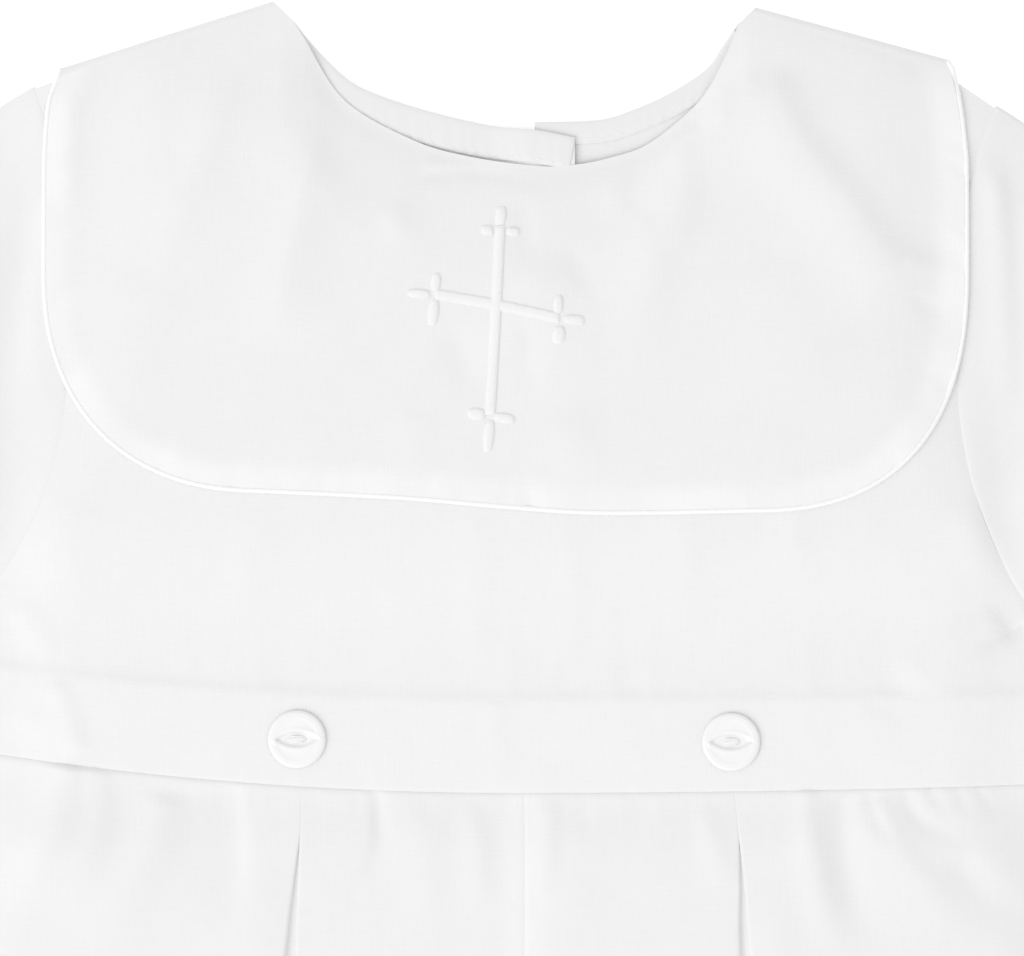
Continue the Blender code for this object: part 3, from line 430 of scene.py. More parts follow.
def cloth_piece(name, x, d, z, finish, node, grain=None, doubled_and_lit=0.0, closed=False):
    """Cut piece of cloth from columns of points, as a thin closed shell with its weave's UV map."""
    index = np.arange(x.size).reshape(x.shape)
    quads = np.stack([index[:-1, :-1], index[:-1, 1:], index[1:, 1:], index[1:, :-1]], axis=-1)
    grain = np.stack([x, d], axis=-1) if grain is None else grain
    piece = add_piece(name, np.stack([x, d, z], axis=-1), quads.reshape(-1, 4).tolist(), finish, grain)
    # This share whitens the cloth where it lies doubled. On the front bodice it carries painted light and
    # painted shade instead.
    piece.data.attributes.new("doubled_and_lit", "FLOAT", "POINT").data.foreach_set(
        "value", np.broadcast_to(doubled_and_lit, x.shape).astype(np.float32).ravel())
    if closed:
        form = bmesh.new()
        form.from_mesh(piece.data)
        bmesh.ops.remove_doubles(form, verts=form.verts, dist=1e-6)
        form.to_mesh(piece.data)
        form.free()
    wall = piece.modifiers.new("wall", "SOLIDIFY")
    wall.thickness = CLOTH / 1000.0
    wall.offset = 0.0
    wall.use_even_offset = True
    wall.use_quality_normals = True
    bpy.ops.object.modifier_apply(modifier=wall.name)
    bpy.ops.object.shade_smooth_by_angle(angle=SOFT_ANGLE)
    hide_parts(node)
    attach(piece, "root")
    return piece


def back_bodice(name, xs_top, xs_low, level):
    """One back piece, from its armhole to its edge at the centre back."""
    shoulder = SHOULDERS[name]
    way = -shoulder["side"]
    parts = stops(150.0, 2.4)
    seam = shoulder_edge(shoulder, len(xs_low) - len(xs_top) - 1)
    neckline = np.stack([xs_top, neck(NECK_BACK[name], xs_top)], axis=1)
    low = np.stack([xs_low, waist(WAIST_TOP, xs_low) - 0.1], axis=1)
    top = np.concatenate([seam, neckline[::way]])[::way]
    inner = 0 if way < 0 else -1
    edges = [side_edge(shoulder, parts), mix(top[inner], low[inner], parts[:, None])][::way]
    x, d = filled(top, low, *edges, parts)
    return cloth_piece(f"back_bodice_{name}_cloth", x, d, level(x, d), batiste, f"back_bodice_{name}")


BACK_NECK_LEFT = np.concatenate([np.linspace(NECK_ENDS["left"], LAP_START, 23),
                                 np.linspace(LAP_START + 1.0, LAP_LEFT_EDGE, 26)])
BACK_NECK_RIGHT = np.linspace(LAP_RIGHT_EDGE, NECK_ENDS["right"], 31)
SHOULDER_COLUMNS = 17
waist_side = {key: float(side_edge(value, np.array([0.0, 1.0]))[-1, 0])
              for key, value in SHOULDERS.items()}
left_low = np.sort(np.concatenate([
    np.linspace(waist_side["left"], -42.0, SHOULDER_COLUMNS + len(BACK_NECK_LEFT) - 45 - 1),
    BACK_NECK_LEFT[-45:]]))
right_low = np.linspace(LAP_RIGHT_EDGE, waist_side["right"], len(BACK_NECK_RIGHT) + SHOULDER_COLUMNS)
back_pieces = {"left": back_bodice("left", BACK_NECK_LEFT, left_low, left_back_level),
               "right": back_bodice("right", BACK_NECK_RIGHT, right_low, back_level)}


# Neck binding: a bias strip of the same cotton folded over the raw neck edge of each back piece,
# turned to the inside and edge-stitched, so it shows inside the neck. The left end laps on top.
BINDING_WIDTHS = {"left": 7.3, "right": 5.0}
BINDING_STITCHES = {"left": (0.9, 2.2), "right": (1.0,)}
BINDING_ENDS = {"left": -48.5, "right": 50.5}
BINDING_ROUND = 0.3
STITCH_LENGTH = 1.9
STITCH_PITCH = 2.5
THREAD = 0.13


def directions(path):
    """Unit vectors along a path at its points."""
    run = np.gradient(path, axis=0)
    return run / np.linalg.norm(run, axis=1, keepdims=True)


def thread_shape(radius, length, cap, cuts):
    """Corners and faces of one stitch's thread along x, cut across where it will bend."""
    bpy.ops.object.select_all(action="DESELECT")
    bpy.ops.mesh.primitive_cylinder_add(vertices=6, radius=radius, depth=length, end_fill_type=cap,
                                        rotation=(0.0, math.pi / 2, 0.0))
    thread = bpy.context.active_object
    bpy.ops.object.transform_apply(location=False, rotation=True, scale=False)
    bpy.ops.object.mode_set(mode="EDIT")
    for cut in cuts:
        bpy.ops.mesh.select_all(action="SELECT")
        bpy.ops.mesh.bisect(plane_co=(cut, 0, 0), plane_no=(1, 0, 0))
    bpy.ops.object.mode_set(mode="OBJECT")
    shape = np.array([vertex.co for vertex in thread.data.vertices])
    faces = [list(polygon.vertices) for polygon in thread.data.polygons]
    bpy.data.objects.remove(thread, do_unlink=True)
    return shape, faces


stitch_shape, stitch_faces = thread_shape(THREAD, STITCH_LENGTH, "TRIFAN",
                                          (-STITCH_LENGTH / 4, STITCH_LENGTH / 4))
stitch_shape[:, 2] -= 1.6 * THREAD * (2 * stitch_shape[:, 0] / STITCH_LENGTH) ** 2


def stitch_row(name, places):
    """Machine stitches laid on the cloth along a line of (x, d, z) points."""
    ends = even(places, 2 * int(distances(places)[-1] / STITCH_PITCH))
    corners, faces = [], []
    for before, middle, after in zip(ends[0::2], ends[1::2], ends[2::2]):
        run = (after - before) / np.linalg.norm(after - before)
        side = np.array([-run[1], run[0], 0.0])
        side /= np.linalg.norm(side)
        up = np.cross(side, run)
        up = up if up[2] > 0 else -up
        base = len(corners)
        corners += list(middle + stitch_shape[:, :1] * run + stitch_shape[:, 1:2] * side
                        + stitch_shape[:, 2:] * up)
        faces += [[base + vertex for vertex in face[::-1]] for face in stitch_faces]
    row = add_piece(name, corners, faces, sewing_thread)
    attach(row, "root")
    return row


def thread_finish(name, colour, roughness, twist):
    """Spun thread: round strands twisted round each other, with a soft shine."""
    material, shader = new_finish(name, {"Roughness": roughness, "Sheen Weight": 0.1})
    place = Wire(material.node_tree).node("ShaderNodeTexCoord", output=3)
    waves = place.node("ShaderNodeTexWave", {"bands_direction": "DIAGONAL"}, {
        "Vector": place, "Scale": twist, "Distortion": 1.5, "Detail": 1.0}, output=1)
    tone = place.node("ShaderNodeMix", {"data_type": "RGBA"}, {
        0: waves, 6: (*[part * 0.94 for part in colour], 1.0), 7: (*colour, 1.0)}, output=2)
    tone.to(shader.inputs["Base Color"])
    bump = place.node("ShaderNodeBump", values={
        "Strength": 0.4, "Distance": 0.00004, "Height": waves})
    bump.to(shader.inputs["Normal"])
    return material


sewing_thread = thread_finish("sewing_thread", (0.90, 0.90, 0.90), 0.5, 900.0)
# Painted shade: the bias strip is the same cotton as the batiste, given darker tones for the shade that the
# binding lies in, inside the neck.
painted_shade_bias_strip = cotton("white_bias_strip", (0.76, 0.76, 0.76), (0.80, 0.80, 0.80))
binding_runs = {
    "left": (np.linspace(BINDING_ENDS["left"], LAP_LEFT_EDGE, 130), left_back_level),
    "right": (np.linspace(LAP_RIGHT_EDGE, BINDING_ENDS["right"], 95), back_level),
}
for half_name, (xs, level) in binding_runs.items():
    edge = np.stack([xs, neck(NECK_BACK[half_name], xs)], axis=1)
    run = directions(edge)
    across = np.stack([-run[:, 1], run[:, 0]], axis=1)
    width = BINDING_WIDTHS[half_name]
    parts = stops(width, 0.5, (0.0, width))
    plan = edge[:, None] + across[:, None] * (width * parts)[None, :, None]
    x, d = plan[..., 0], plan[..., 1]
    from_low = width * (1.0 - parts)[None, :]
    end = -1 if half_name == "left" else 0
    from_end = np.abs((x - edge[end, 0]) * run[end, 0] + (d - edge[end, 1]) * run[end, 1])
    roll = BINDING_ROUND * np.exp(-width * np.minimum(parts, 1.0 - parts)[None, :] / 0.5)
    roll = roll + 0.3 * np.exp(-from_end / 0.5)
    stitch_line = sum(0.16 * bell(from_low - place, 0.3) for place in BINDING_STITCHES[half_name])
    pucker = 0.05 * np.sin(x * 1.9 + 1.3 * np.sin(x * 0.61)) * parts[None, :]
    z = level(x, d) + PLY - roll - stitch_line + pucker
    bias = np.stack([(x + d) * 0.7071, (x - d) * 0.7071], axis=-1)
    piece = cloth_piece(f"neck_binding_{half_name}_strip", x, d, z, painted_shade_bias_strip,
                        f"neck_binding_{half_name}", grain=bias,
                        doubled_and_lit=np.ones_like(x))
    line = (edge + across * (width - BINDING_STITCHES[half_name][0]))[1:-1]
    seam_z = level(line[:, 0], line[:, 1]) + PLY + CLOTH / 2 - 0.1
    stitches = stitch_row(f"neck_binding_{half_name}_stitches",
                          np.column_stack([line, seam_z]))


# Waistband: a straight doubled band, front and back, seamed to the bodice above and the legs below.
# It is firmer than the rest and holds only shallow creases, and it stands a little over both seams.
WAIST_BOTTOM = {"middle": 180.2, "left": 8.6, "right": 1.8}
BAND_HEIGHT = 21.0
WAIST_PROUD = 0.4
WAIST_ROLL = {"top": 0.10, "bottom": 0.12}


def crease(line, half, rise, lean=0.0, swell=0.25, fade=0.5, power=2.0):
    """One crease: its bent line, half widths and height, and the shares in which it comes and goes."""
    return {"line": line, "half": half, "rise": rise, "lean": lean, "swell": swell, "fade": fade,
            "power": power}


def creased(creases, x, d):
    """Height of creases, each of which follows a bent line, swells in and dies out along it."""
    height = np.zeros(np.shape(x))
    for one in creases:
        line = curve_through(one["line"], 5)
        reach = distances(line)
        nearest = np.full(np.shape(x), 1e9)
        share, side = np.zeros(np.shape(x)), np.zeros(np.shape(x))
        for index, (start, end) in enumerate(zip(line, line[1:])):
            run = end - start
            size = max(float(run @ run), 1e-9)
            part = np.clip(((x - start[0]) * run[0] + (d - start[1]) * run[1]) / size, 0.0, 1.0)
            off_x, off_d = x - start[0] - part * run[0], d - start[1] - part * run[1]
            gap = np.hypot(off_x, off_d)
            closer = gap < nearest
            nearest = np.where(closer, gap, nearest)
            now = (reach[index] + part * math.sqrt(size)) / reach[-1]
            share = np.where(closer, now, share)
            side = np.where(closer, np.sign(run[0] * off_d - run[1] * off_x), side)
        half = mix(*one["half"], share) * (1.0 + one["lean"] * side)
        swell = ease(0.0, one["swell"] + 1e-6, share)
        fade = 1.0 - ease(1.0 - one["fade"], 1.0, share)
        height += one["rise"] * swell * fade * bell(nearest, half, one["power"])
    return height


WAISTBAND_CREASES = [
    crease([(-104, 154.5), (-101, 163), (-98.5, 172.5)], (3, 3.5), 0.55, lean=0.2, swell=0.1, fade=0.2),
    crease([(-113, 160), (-108, 165), (-103.5, 172)], (4, 4), 0.35),
    crease([(-4.2, 159), (-3.4, 169), (-2.4, 181)], (3.2, 3.8), 0.28, swell=0.1, fade=0.2),
    crease([(84, 160), (80, 168), (78.5, 176)], (5, 5), 0.3),
    crease([(-70, 158), (-66, 166), (-64, 176)], (6, 6), 0.22),
    crease([(24, 161), (27, 170), (26, 180)], (5, 6), 0.2),
    crease([(-31, 160), (-29, 169), (-33, 178)], (4, 5), 0.16),
]


def waistband_level(x, d):
    """Middle of the front waistband's cloth."""
    return front_level(x, d) + WAIST_PROUD + 0.05 + creased(WAISTBAND_CREASES, x, d)


def waist_seam(edge, roll, x):
    """Height at which the waistband's edge meets the piece sewn to it."""
    return waistband_level(x, waist(edge, x)) - roll


def band_plan(columns, rows):
    """Plan points of the waistband."""
    x = np.linspace(-band_half, band_half, columns)[:, None] + 0.0 * rows
    return x, mix(waist(WAIST_TOP, x), waist(WAIST_BOTTOM, x), rows)


band_half = float(side_seam(165.0))
rows = stops(BAND_HEIGHT, 0.85, (0.0, BAND_HEIGHT))[None, :]
x, d = band_plan(230, rows)
from_top, from_bottom = BAND_HEIGHT * rows, BAND_HEIGHT * (1 - rows)
from_seam = np.minimum(from_top, from_bottom)
pucker = 0.05 * np.sin(x * 0.9 + 2.0 * np.sin(x * 0.23)) * np.exp(-from_seam / 2.5)
roll = (WAIST_ROLL["top"] * np.exp(-from_top / 0.5)
        + WAIST_ROLL["bottom"] * np.exp(-from_bottom / 0.4))
z = waistband_level(x, d) - roll + pucker * (1.0 - np.exp(-from_seam / 0.6))
waistband = cloth_piece("waistband_front_cloth", x, d, z, batiste, "waistband_front",
                        doubled_and_lit=0.3)
x, d = band_plan(60, np.linspace(0.0, 1.0, 6)[None, :])
waistband_back = cloth_piece("waistband_back_cloth", x, d, back_level(x, d), batiste,
                             "waistband_back")


# Front of the bodice: one piece of the same cotton, plain below the collar, set into the waistband
# with a little ease that leaves faint upright ripples, and creased under both arms.
BODICE_CREASES = [
    crease([(-8.6, 112), (-8.2, 135), (-7.6, 158)], (4.5, 3.4), 0.34, swell=0.2, fade=0.3),
    crease([(13, 114), (13.4, 136), (13, 158)], (3.8, 3.2), 0.26, swell=0.3, fade=0.3),
    crease([(39.6, 113), (39, 132), (38.6, 150)], (5, 4.2), 0.36, swell=0.2, fade=0.5),
    crease([(63, 112), (64.5, 124), (65, 136)], (4, 4), 0.3),
    crease([(-57, 112), (-60, 128), (-61, 150)], (6, 6), 0.35),
    crease([(112.5, 141), (99.5, 147.7), (88, 157)], (4.5, 6), 1.1, lean=-0.2, swell=0.1, fade=0.25),
    crease([(117, 142.4), (111, 145.3), (105.5, 149)], (1.3, 1.8), -1.1, swell=0.05, fade=0.6),
    crease([(-112.5, 136), (-108, 144), (-105.5, 152)], (3, 4), 0.6, swell=0.2),
    crease([(-98, 112), (-103, 124), (-108, 134)], (5, 5), 0.45),
    crease([(101, 112), (106, 126), (111, 138)], (4, 4), 0.5),
]
WAIST_RIPPLES = 64
WAIST_CLIMB = 1.7
SEAM_DIP = {"left": 0.14, "right": 0.3}
SEAM_REACH = 0.6
NECK_SETTLE = 0.5


def away_from(path, x, d):
    """Distance in plan from each point to a path."""
    nearest = np.full(np.shape(x), 1e9)
    for (ax, ad), (bx, bd) in zip(path, path[1:]):
        run = (bx - ax) ** 2 + (bd - ad) ** 2 + 1e-12
        part = np.clip(((x - ax) * (bx - ax) + (d - ad) * (bd - ad)) / run, 0.0, 1.0)
        nearest = np.minimum(nearest, np.hypot(x - mix(ax, bx, part), d - mix(ad, bd, part)))
    return nearest


def front_bodice_level(x, d):
    """Middle of the front bodice's cloth."""
    return front_level(x, d) + creased(BODICE_CREASES, x, d)


def neck_settle(x, d):
    """How much lower the front lies along its neckline, where it rests on the back."""
    below = np.maximum(0.0, d - neck(NECK_FRONT, x))
    return NECK_SETTLE * bell(below, 6.0) * ease(0.0, 8.0, 48.0 - np.abs(x))


parts = stops(155.0, 1.35, (155.0,))
left, right = SHOULDERS["left"], SHOULDERS["right"]
left_seam, right_seam = shoulder_edge(left, 18), shoulder_edge(right, 18)[::-1]
neck_xs = np.linspace(NECK_ENDS["left"], NECK_ENDS["right"], 81)
neck_plan = np.stack([neck_xs, neck(NECK_FRONT, neck_xs) + 0.5], axis=1)
neckline = even(np.concatenate([left_seam[-1:], neck_plan, right_seam[:1]]), 120)
top = np.concatenate([left_seam[:-1], neckline, right_seam[1:]])
low_xs = np.linspace(waist_side["left"], waist_side["right"], len(top))
low = np.stack([low_xs, waist(WAIST_TOP, low_xs) - 0.02], axis=1)
edges = {key: side_edge(value, parts) for key, value in SHOULDERS.items()}
x, d = filled(top, low, edges["left"], edges["right"], parts)
z = front_bodice_level(x, d) - neck_settle(x, d)
chance = np.random.default_rng(7)
from_seam = np.maximum(0.0, waist(WAIST_TOP, x) - d)
for place in np.sort(chance.uniform(-114.0, 114.0, WAIST_RIPPLES)):
    reach = chance.uniform(5.0, 22.0)
    half = chance.uniform(0.7, 1.9)
    size = chance.uniform(-0.16, 0.20)
    z += size * bell(x - place, half) * bell(from_seam, reach)
climb = waist_seam(WAIST_TOP, WAIST_ROLL["top"], x[:, -1:]) - z[:, -1:]
z += climb * bell(from_seam, WAIST_CLIMB)
for key, value in SHOULDERS.items():
    z -= SEAM_DIP[key] * np.exp(-away_from(armhole_path(value), x, d) / SEAM_REACH)
# Painted light and shade on the single front bodice: its colour is whitened away from its edges. Painted
# shade lies just below the collar's edge, in a narrow band above the waistband, and over its lower part.
low = ease(0.5, 4.5, from_seam) * ease(112.0, 132.0, d) * mix(0.3, 0.1, ease(136.0, 154.0, d))
front_bodice = cloth_piece("front_bodice_cloth", x, d, z, batiste, "front_bodice",
                           doubled_and_lit=low)


# Sleeves: short, cut in one piece each and sewn into a tube, set into the armhole with a little
# fullness at the top, and hemmed with one row of machine stitches 10 mm from the edge.
SLEEVE_HEMS = {"left": ((-168.0, 57.0), (-146.0, 142.0)), "right": ((168.0, 62.0), (146.0, 149.0))}
SLEEVE_PUFF = 2.3
SLEEVE_HEM_WIDTH = 10.0
SLEEVE_HEM_DIP = 0.25
SLEEVE_BOW = 3.0
SLEEVE_CREASES = {
    "left": [
        crease([(-104, 40), (-108, 70), (-112, 100)], (3, 4), 0.9, lean=-0.2, swell=0.2),
        crease([(-113, 36), (-118, 60), (-122, 96)], (4, 6), 0.7, swell=0.2),
        crease([(-116, 132.5), (-122, 126), (-134, 112)], (2, 5), -0.8, swell=0.1),
    ],
    "right": [
        crease([(109, 34), (111, 52), (112, 76), (113, 104)], (2.6, 4), 1.3, swell=0.15),
        crease([(118, 40), (122, 66), (126, 100)], (4, 6), 0.8, swell=0.2),
        crease([(118, 138.5), (124, 131), (135, 118)], (2, 5), -0.8, swell=0.1),
    ],
}
ARMHOLE_GAPS = {"left": 0.02, "right": 0.05}
HALF_TURN = 8


def inset(path, by):
    """The path moved to its left, as it is drawn with d pointing down."""
    run = directions(path)
    return path + by * np.stack([run[:, 1], -run[:, 0]], axis=1)


def turned_edge(edge, inside, start_z, end_z):
    """Points of the half round by which one layer turns into the other, its ends left out."""
    out = (edge - inside) / np.linalg.norm(edge - inside)
    radius = abs(end_z - start_z) / 2
    angles = math.pi * np.arange(1, HALF_TURN) / HALF_TURN
    plan = edge + out * (radius * np.sin(angles))[:, None]
    return np.column_stack([plan, mix(start_z, end_z, (1 - np.cos(angles)) / 2)])


def sleeve_plan(name, root, v, u):
    """Plan points across a sleeve, at u of the way from its armhole to its hem."""
    hem_top, hem_low = SLEEVE_HEMS[name]
    plan = mix(root, mix(hem_top, hem_low, v[:, None]), u)
    plan[:, 0] += SHOULDERS[name]["side"] * SLEEVE_BOW * np.sin(math.pi * v) * ease(0.4, 1.0, u)
    return plan


def sleeve_level(name, plan, v):
    """Middle of the sleeve's upper layer, and the share that its creases have beside its folds."""
    sx, sd = plan[:, 0], plan[:, 1]
    from_fold = np.minimum(v, 1 - v)
    seam = np.where(np.abs(sx) < 118.0, front_level(sx, sd), back_level(sx, sd) + LAYER + GAP)
    puff = SLEEVE_PUFF * ease(109.0, 126.0, np.abs(sx)) * ease(0.0, 0.3, from_fold)
    ends = ease(0.0, 0.12, from_fold)
    return seam + puff + creased(SLEEVE_CREASES[name], sx, sd) * ends, ends


for half_name, shoulder in SHOULDERS.items():
    v = np.linspace(0.0, 1.0, 76)
    root = inset(along(armhole_path(shoulder), v), shoulder["side"] * ARMHOLE_GAPS[half_name])
    to_hem = np.subtract(SLEEVE_HEMS[half_name][0], shoulder["tip"])
    hem_span = np.linalg.norm(to_hem)
    loops = []
    for u in stops(hem_span, 1.6, (0.0, hem_span - SLEEVE_HEM_WIDTH)):
        plan = sleeve_plan(half_name, root, v, u)
        lower = back_level(plan[:, 0], plan[:, 1])
        upper, ends = sleeve_level(half_name, plan, v)
        from_stitches = hem_span * (1 - u) - SLEEVE_HEM_WIDTH
        upper -= (SEAM_DIP[half_name] * np.exp(-np.linalg.norm(plan - root, axis=1) / SEAM_REACH)
                  + SLEEVE_HEM_DIP * bell(from_stitches, 0.6) * ends)
        upper = np.maximum(upper, lower + PLY)
        front, back = np.column_stack([plan, upper]), np.column_stack([plan, lower])
        top_turn = turned_edge(plan[0], plan[1], lower[0], upper[0])
        low_turn = turned_edge(plan[-1], plan[-2], upper[-1], lower[-1])
        loops.append(np.concatenate([back[::-1], top_turn, front, low_turn, back[-1:]]))
    points = np.stack(loops, axis=1)
    if shoulder["side"] < 0:
        points = points[:, ::-1]
    x, d, z = points[..., 0], points[..., 1], points[..., 2]
    turn = math.atan2(to_hem[1], to_hem[0])
    grain = np.stack([x * math.cos(turn) + d * math.sin(turn),
                      d * math.cos(turn) - x * math.sin(turn)], axis=-1)
    sleeve = cloth_piece(f"sleeve_{half_name}_cloth", x, d, z, batiste, f"sleeve_{half_name}",
                         grain=grain, closed=True)
    line = sleeve_plan(half_name, root, v, 1 - SLEEVE_HEM_WIDTH / hem_span)
    upper, ends = sleeve_level(half_name, line, v)
    line = np.column_stack([line, upper - SLEEVE_HEM_DIP * ends + CLOTH / 2])[6:-6]
    stitches = stitch_row(f"sleeve_{half_name}_stitches", line)


# Legs: a wide front and back for each leg. The front is gathered into the waistband, with one
# inverted pleat that opens on its way down; centre seam, inseam, side seam and a stitched hem.
CENTRE_SEAM = 2.9
CROTCH = 345.0
INSEAM_SPREAD = 18.0
HEM_OUTER = 396.0
LEG_LENGTH = 222.0
LEG_HEM_WIDTH = 14.0
LEG_HEM_DIP = 0.28
LEG_CROWN = {"waist": 2.0, "below": 3.1, "hem": 0.5}
PLEATS = {"left": {"waist": 0.415, "low": 0.404}, "right": {"waist": 0.408, "low": 0.393}}
PLEAT_SHAPE = {
    "d": [178.0, 187.0, 190.5, 195.0, 204.0, 217.0, 250.0, 300.0, 404.0],
    "half": [0.08, 0.10, 0.16, 0.36, 0.70, 1.15, 3.0, 6.5, 9.0],
    "round": [0.30, 0.32, 0.40, 0.50, 0.60, 0.90, 3.0, 6.0, 8.0],
    "depth": [0.10, 0.15, 0.45, 0.8, 1.2, 1.55, 1.9, 1.4, 0.6],
}
LEG_CREASES = {
    "left": [
        crease([(-101, 174), (-102.3, 182), (-106.1, 192), (-118, 203)], (4, 9), 2.0, swell=0.02),
        crease([(-94.3, 174), (-94.3, 187), (-98.2, 198), (-104, 212)], (2.6, 6), 1.25, swell=0.02),
        crease([(-78.9, 180), (-82.3, 193), (-91.4, 206.8), (-99, 222)], (4, 8), 1.55, swell=0.05),
        crease([(-63.2, 178.5), (-62.6, 196), (-64.5, 212)], (6, 8), -1.5, lean=0.7, swell=0.02,
               fade=0.6),
        crease([(-31.2, 179.5), (-30.3, 191.5), (-34, 202)], (1.3, 3), -1.1, lean=-0.3, swell=0.01,
               fade=0.6),
        crease([(-21, 180), (-19, 196), (-21, 216)], (4, 6), 0.6),
        crease([(-9.2, 181), (-7.6, 195), (-7, 212)], (3, 3.6), 0.8, lean=0.2, swell=0.15),
        crease([(-56, 190), (-57.5, 212), (-60, 250)], (5, 8), 0.6),
        crease([(-84, 214), (-98, 240), (-110, 280)], (8, 12), 0.8),
        crease([(-26, 250), (-34, 290), (-46, 340)], (8, 12), 0.7),
        crease([(-112, 300), (-100, 345), (-96, 398)], (8, 10), 0.6, fade=0.1),
    ],
    "right": [
        crease([(9.4, 181), (7.9, 192), (7.4, 206)], (3.2, 3.6), 0.7, lean=0.2, swell=0.15),
        crease([(17, 184), (14, 200), (12, 222)], (4, 7), 0.35),
        crease([(43, 182), (46.2, 193), (49, 206)], (2.4, 4), 0.75, swell=0.15),
        crease([(66.9, 179.5), (67.4, 190), (70, 203), (76, 222)], (2.2, 5.5), 1.15, swell=0.01),
        crease([(75, 181), (75.5, 192), (77.5, 204), (82, 222)], (2.5, 7), -1.45, swell=0.01, fade=0.6),
        crease([(83.4, 181), (88, 193), (97, 205), (106, 217)], (3, 8), 1.05, lean=0.25, swell=0.05),
        crease([(81.2, 179), (82, 184.5), (85.2, 190), (88, 193.6)], (1.1, 2), -0.75, swell=0.01),
        crease([(89.7, 179), (90.6, 184), (95.8, 188.4), (104, 190.2), (114, 189.4)], (1.1, 3.4), -0.75,
               swell=0.01, fade=0.7),
        crease([(95.3, 179), (96, 181.6), (96.8, 183.6)], (0.8, 1), -0.6, swell=0.01),
        crease([(101, 179), (101.8, 181.5), (104, 184)], (0.9, 1.4), -0.6, swell=0.01),
        crease([(106, 179), (107.4, 181.5), (111, 184.5)], (0.9, 1.6), -0.7, swell=0.01),
        crease([(93, 179.5), (94.6, 182.6), (97.4, 184.8)], (1.2, 1.4), 0.35, swell=0.05),
        crease([(98, 192), (108, 203), (122, 214)], (3.5, 6), -0.95),
        crease([(60, 196), (61, 224), (64, 262)], (5, 8), 0.6),
        crease([(92, 220), (104, 246), (114, 286)], (8, 12), 0.8),
        crease([(30, 240), (38, 288), (50, 344)], (8, 12), 0.6),
        crease([(116, 306), (104, 350), (98, 398)], (8, 10), 0.6, fade=0.1),
    ],
}
LEG_RIPPLES = 46
LEG_SEAM_DIP = 0.6
LEG_UNDER = 0.25
LEG_TOP_SEAM = 0.06
SEAM_BLENDS = {"body": 2.6, "folds": 0.9, "edge": 0.4}


def inseam(d):
    """How far each leg's inner edge lies from the centre seam."""
    return 0.03 + INSEAM_SPREAD * np.clip((d - CROTCH) / (LENGTH - CROTCH), 0.0, 1.0) ** 1.2


def leg_plan(name, f, v):
    """Plan points of a leg: f runs from its inner edge to the side seam, v from waist to hem."""
    side = SHOULDERS[name]["side"]
    f, v = np.broadcast_arrays(np.asarray(f, float), np.asarray(v, float))

    def waist_point(part):
        px = mix(CENTRE_SEAM + side * 0.03, side * side_seam(180.0), part)
        return px, waist(WAIST_BOTTOM, px) + LEG_TOP_SEAM

    def hem_point(part):
        px = mix(CENTRE_SEAM + side * inseam(LENGTH), side * side_seam(LENGTH), part)
        return px, mix(LENGTH, HEM_OUTER, part ** 1.5)

    (wx, wd), (hx, hd) = waist_point(f), hem_point(f)
    x, d = mix(wx, hx, v), mix(wd, hd, v)
    for share, part in ((1 - f, 0.0), (f, 1.0)):
        (ax, ad), (bx, bd) = waist_point(part), hem_point(part)
        edge_d = mix(ad, LENGTH if part == 0.0 else HEM_OUTER, v)
        if part == 0.0:
            edge_x = CENTRE_SEAM + side * inseam(edge_d)
        else:
            edge_x = side * side_seam(edge_d)
        x = x + share * (edge_x - mix(ax, bx, v))
        d = d + share * (edge_d - mix(ad, bd, v))
    return x, d


def leg_crown(x, d):
    """How far the front of a leg stands above its seams."""
    amount = mix(LEG_CROWN["waist"], LEG_CROWN["below"], ease(179.0, 194.0, d))
    amount *= mix(1.0, LEG_CROWN["hem"], ease(330.0, LENGTH, d))
    side = ease(0.0, 20.0, side_seam(d) - np.abs(x))
    inner = np.hypot(np.maximum(0.0, np.abs(x - CENTRE_SEAM) - inseam(d) * (d > CROTCH)),
                     np.maximum(0.0, CROTCH - d))
    return amount * side * ease(0.0, 30.0, inner)


def leg_profile(table_row, room, steps=9):
    """Cross-section of the inverted pleat, as (sideways, down) pairs from its middle."""
    half, lip, depth = table_row
    depth = min(depth, room)
    turn = min(lip, 0.45 * depth)
    angles = np.linspace(0.0, math.pi / 2, steps)
    rim = np.stack([-(half + lip) + lip * np.sin(angles), turn * (1 - np.cos(angles))], axis=1)
    sole = min(half, 0.45 * depth)
    angles = np.linspace(0.0, math.pi, 2 * steps)
    base = np.stack([-half * np.cos(angles), depth - sole + sole * np.sin(angles)], axis=1)
    return np.concatenate([rim, base, rim[::-1] * (-1.0, 1.0)])


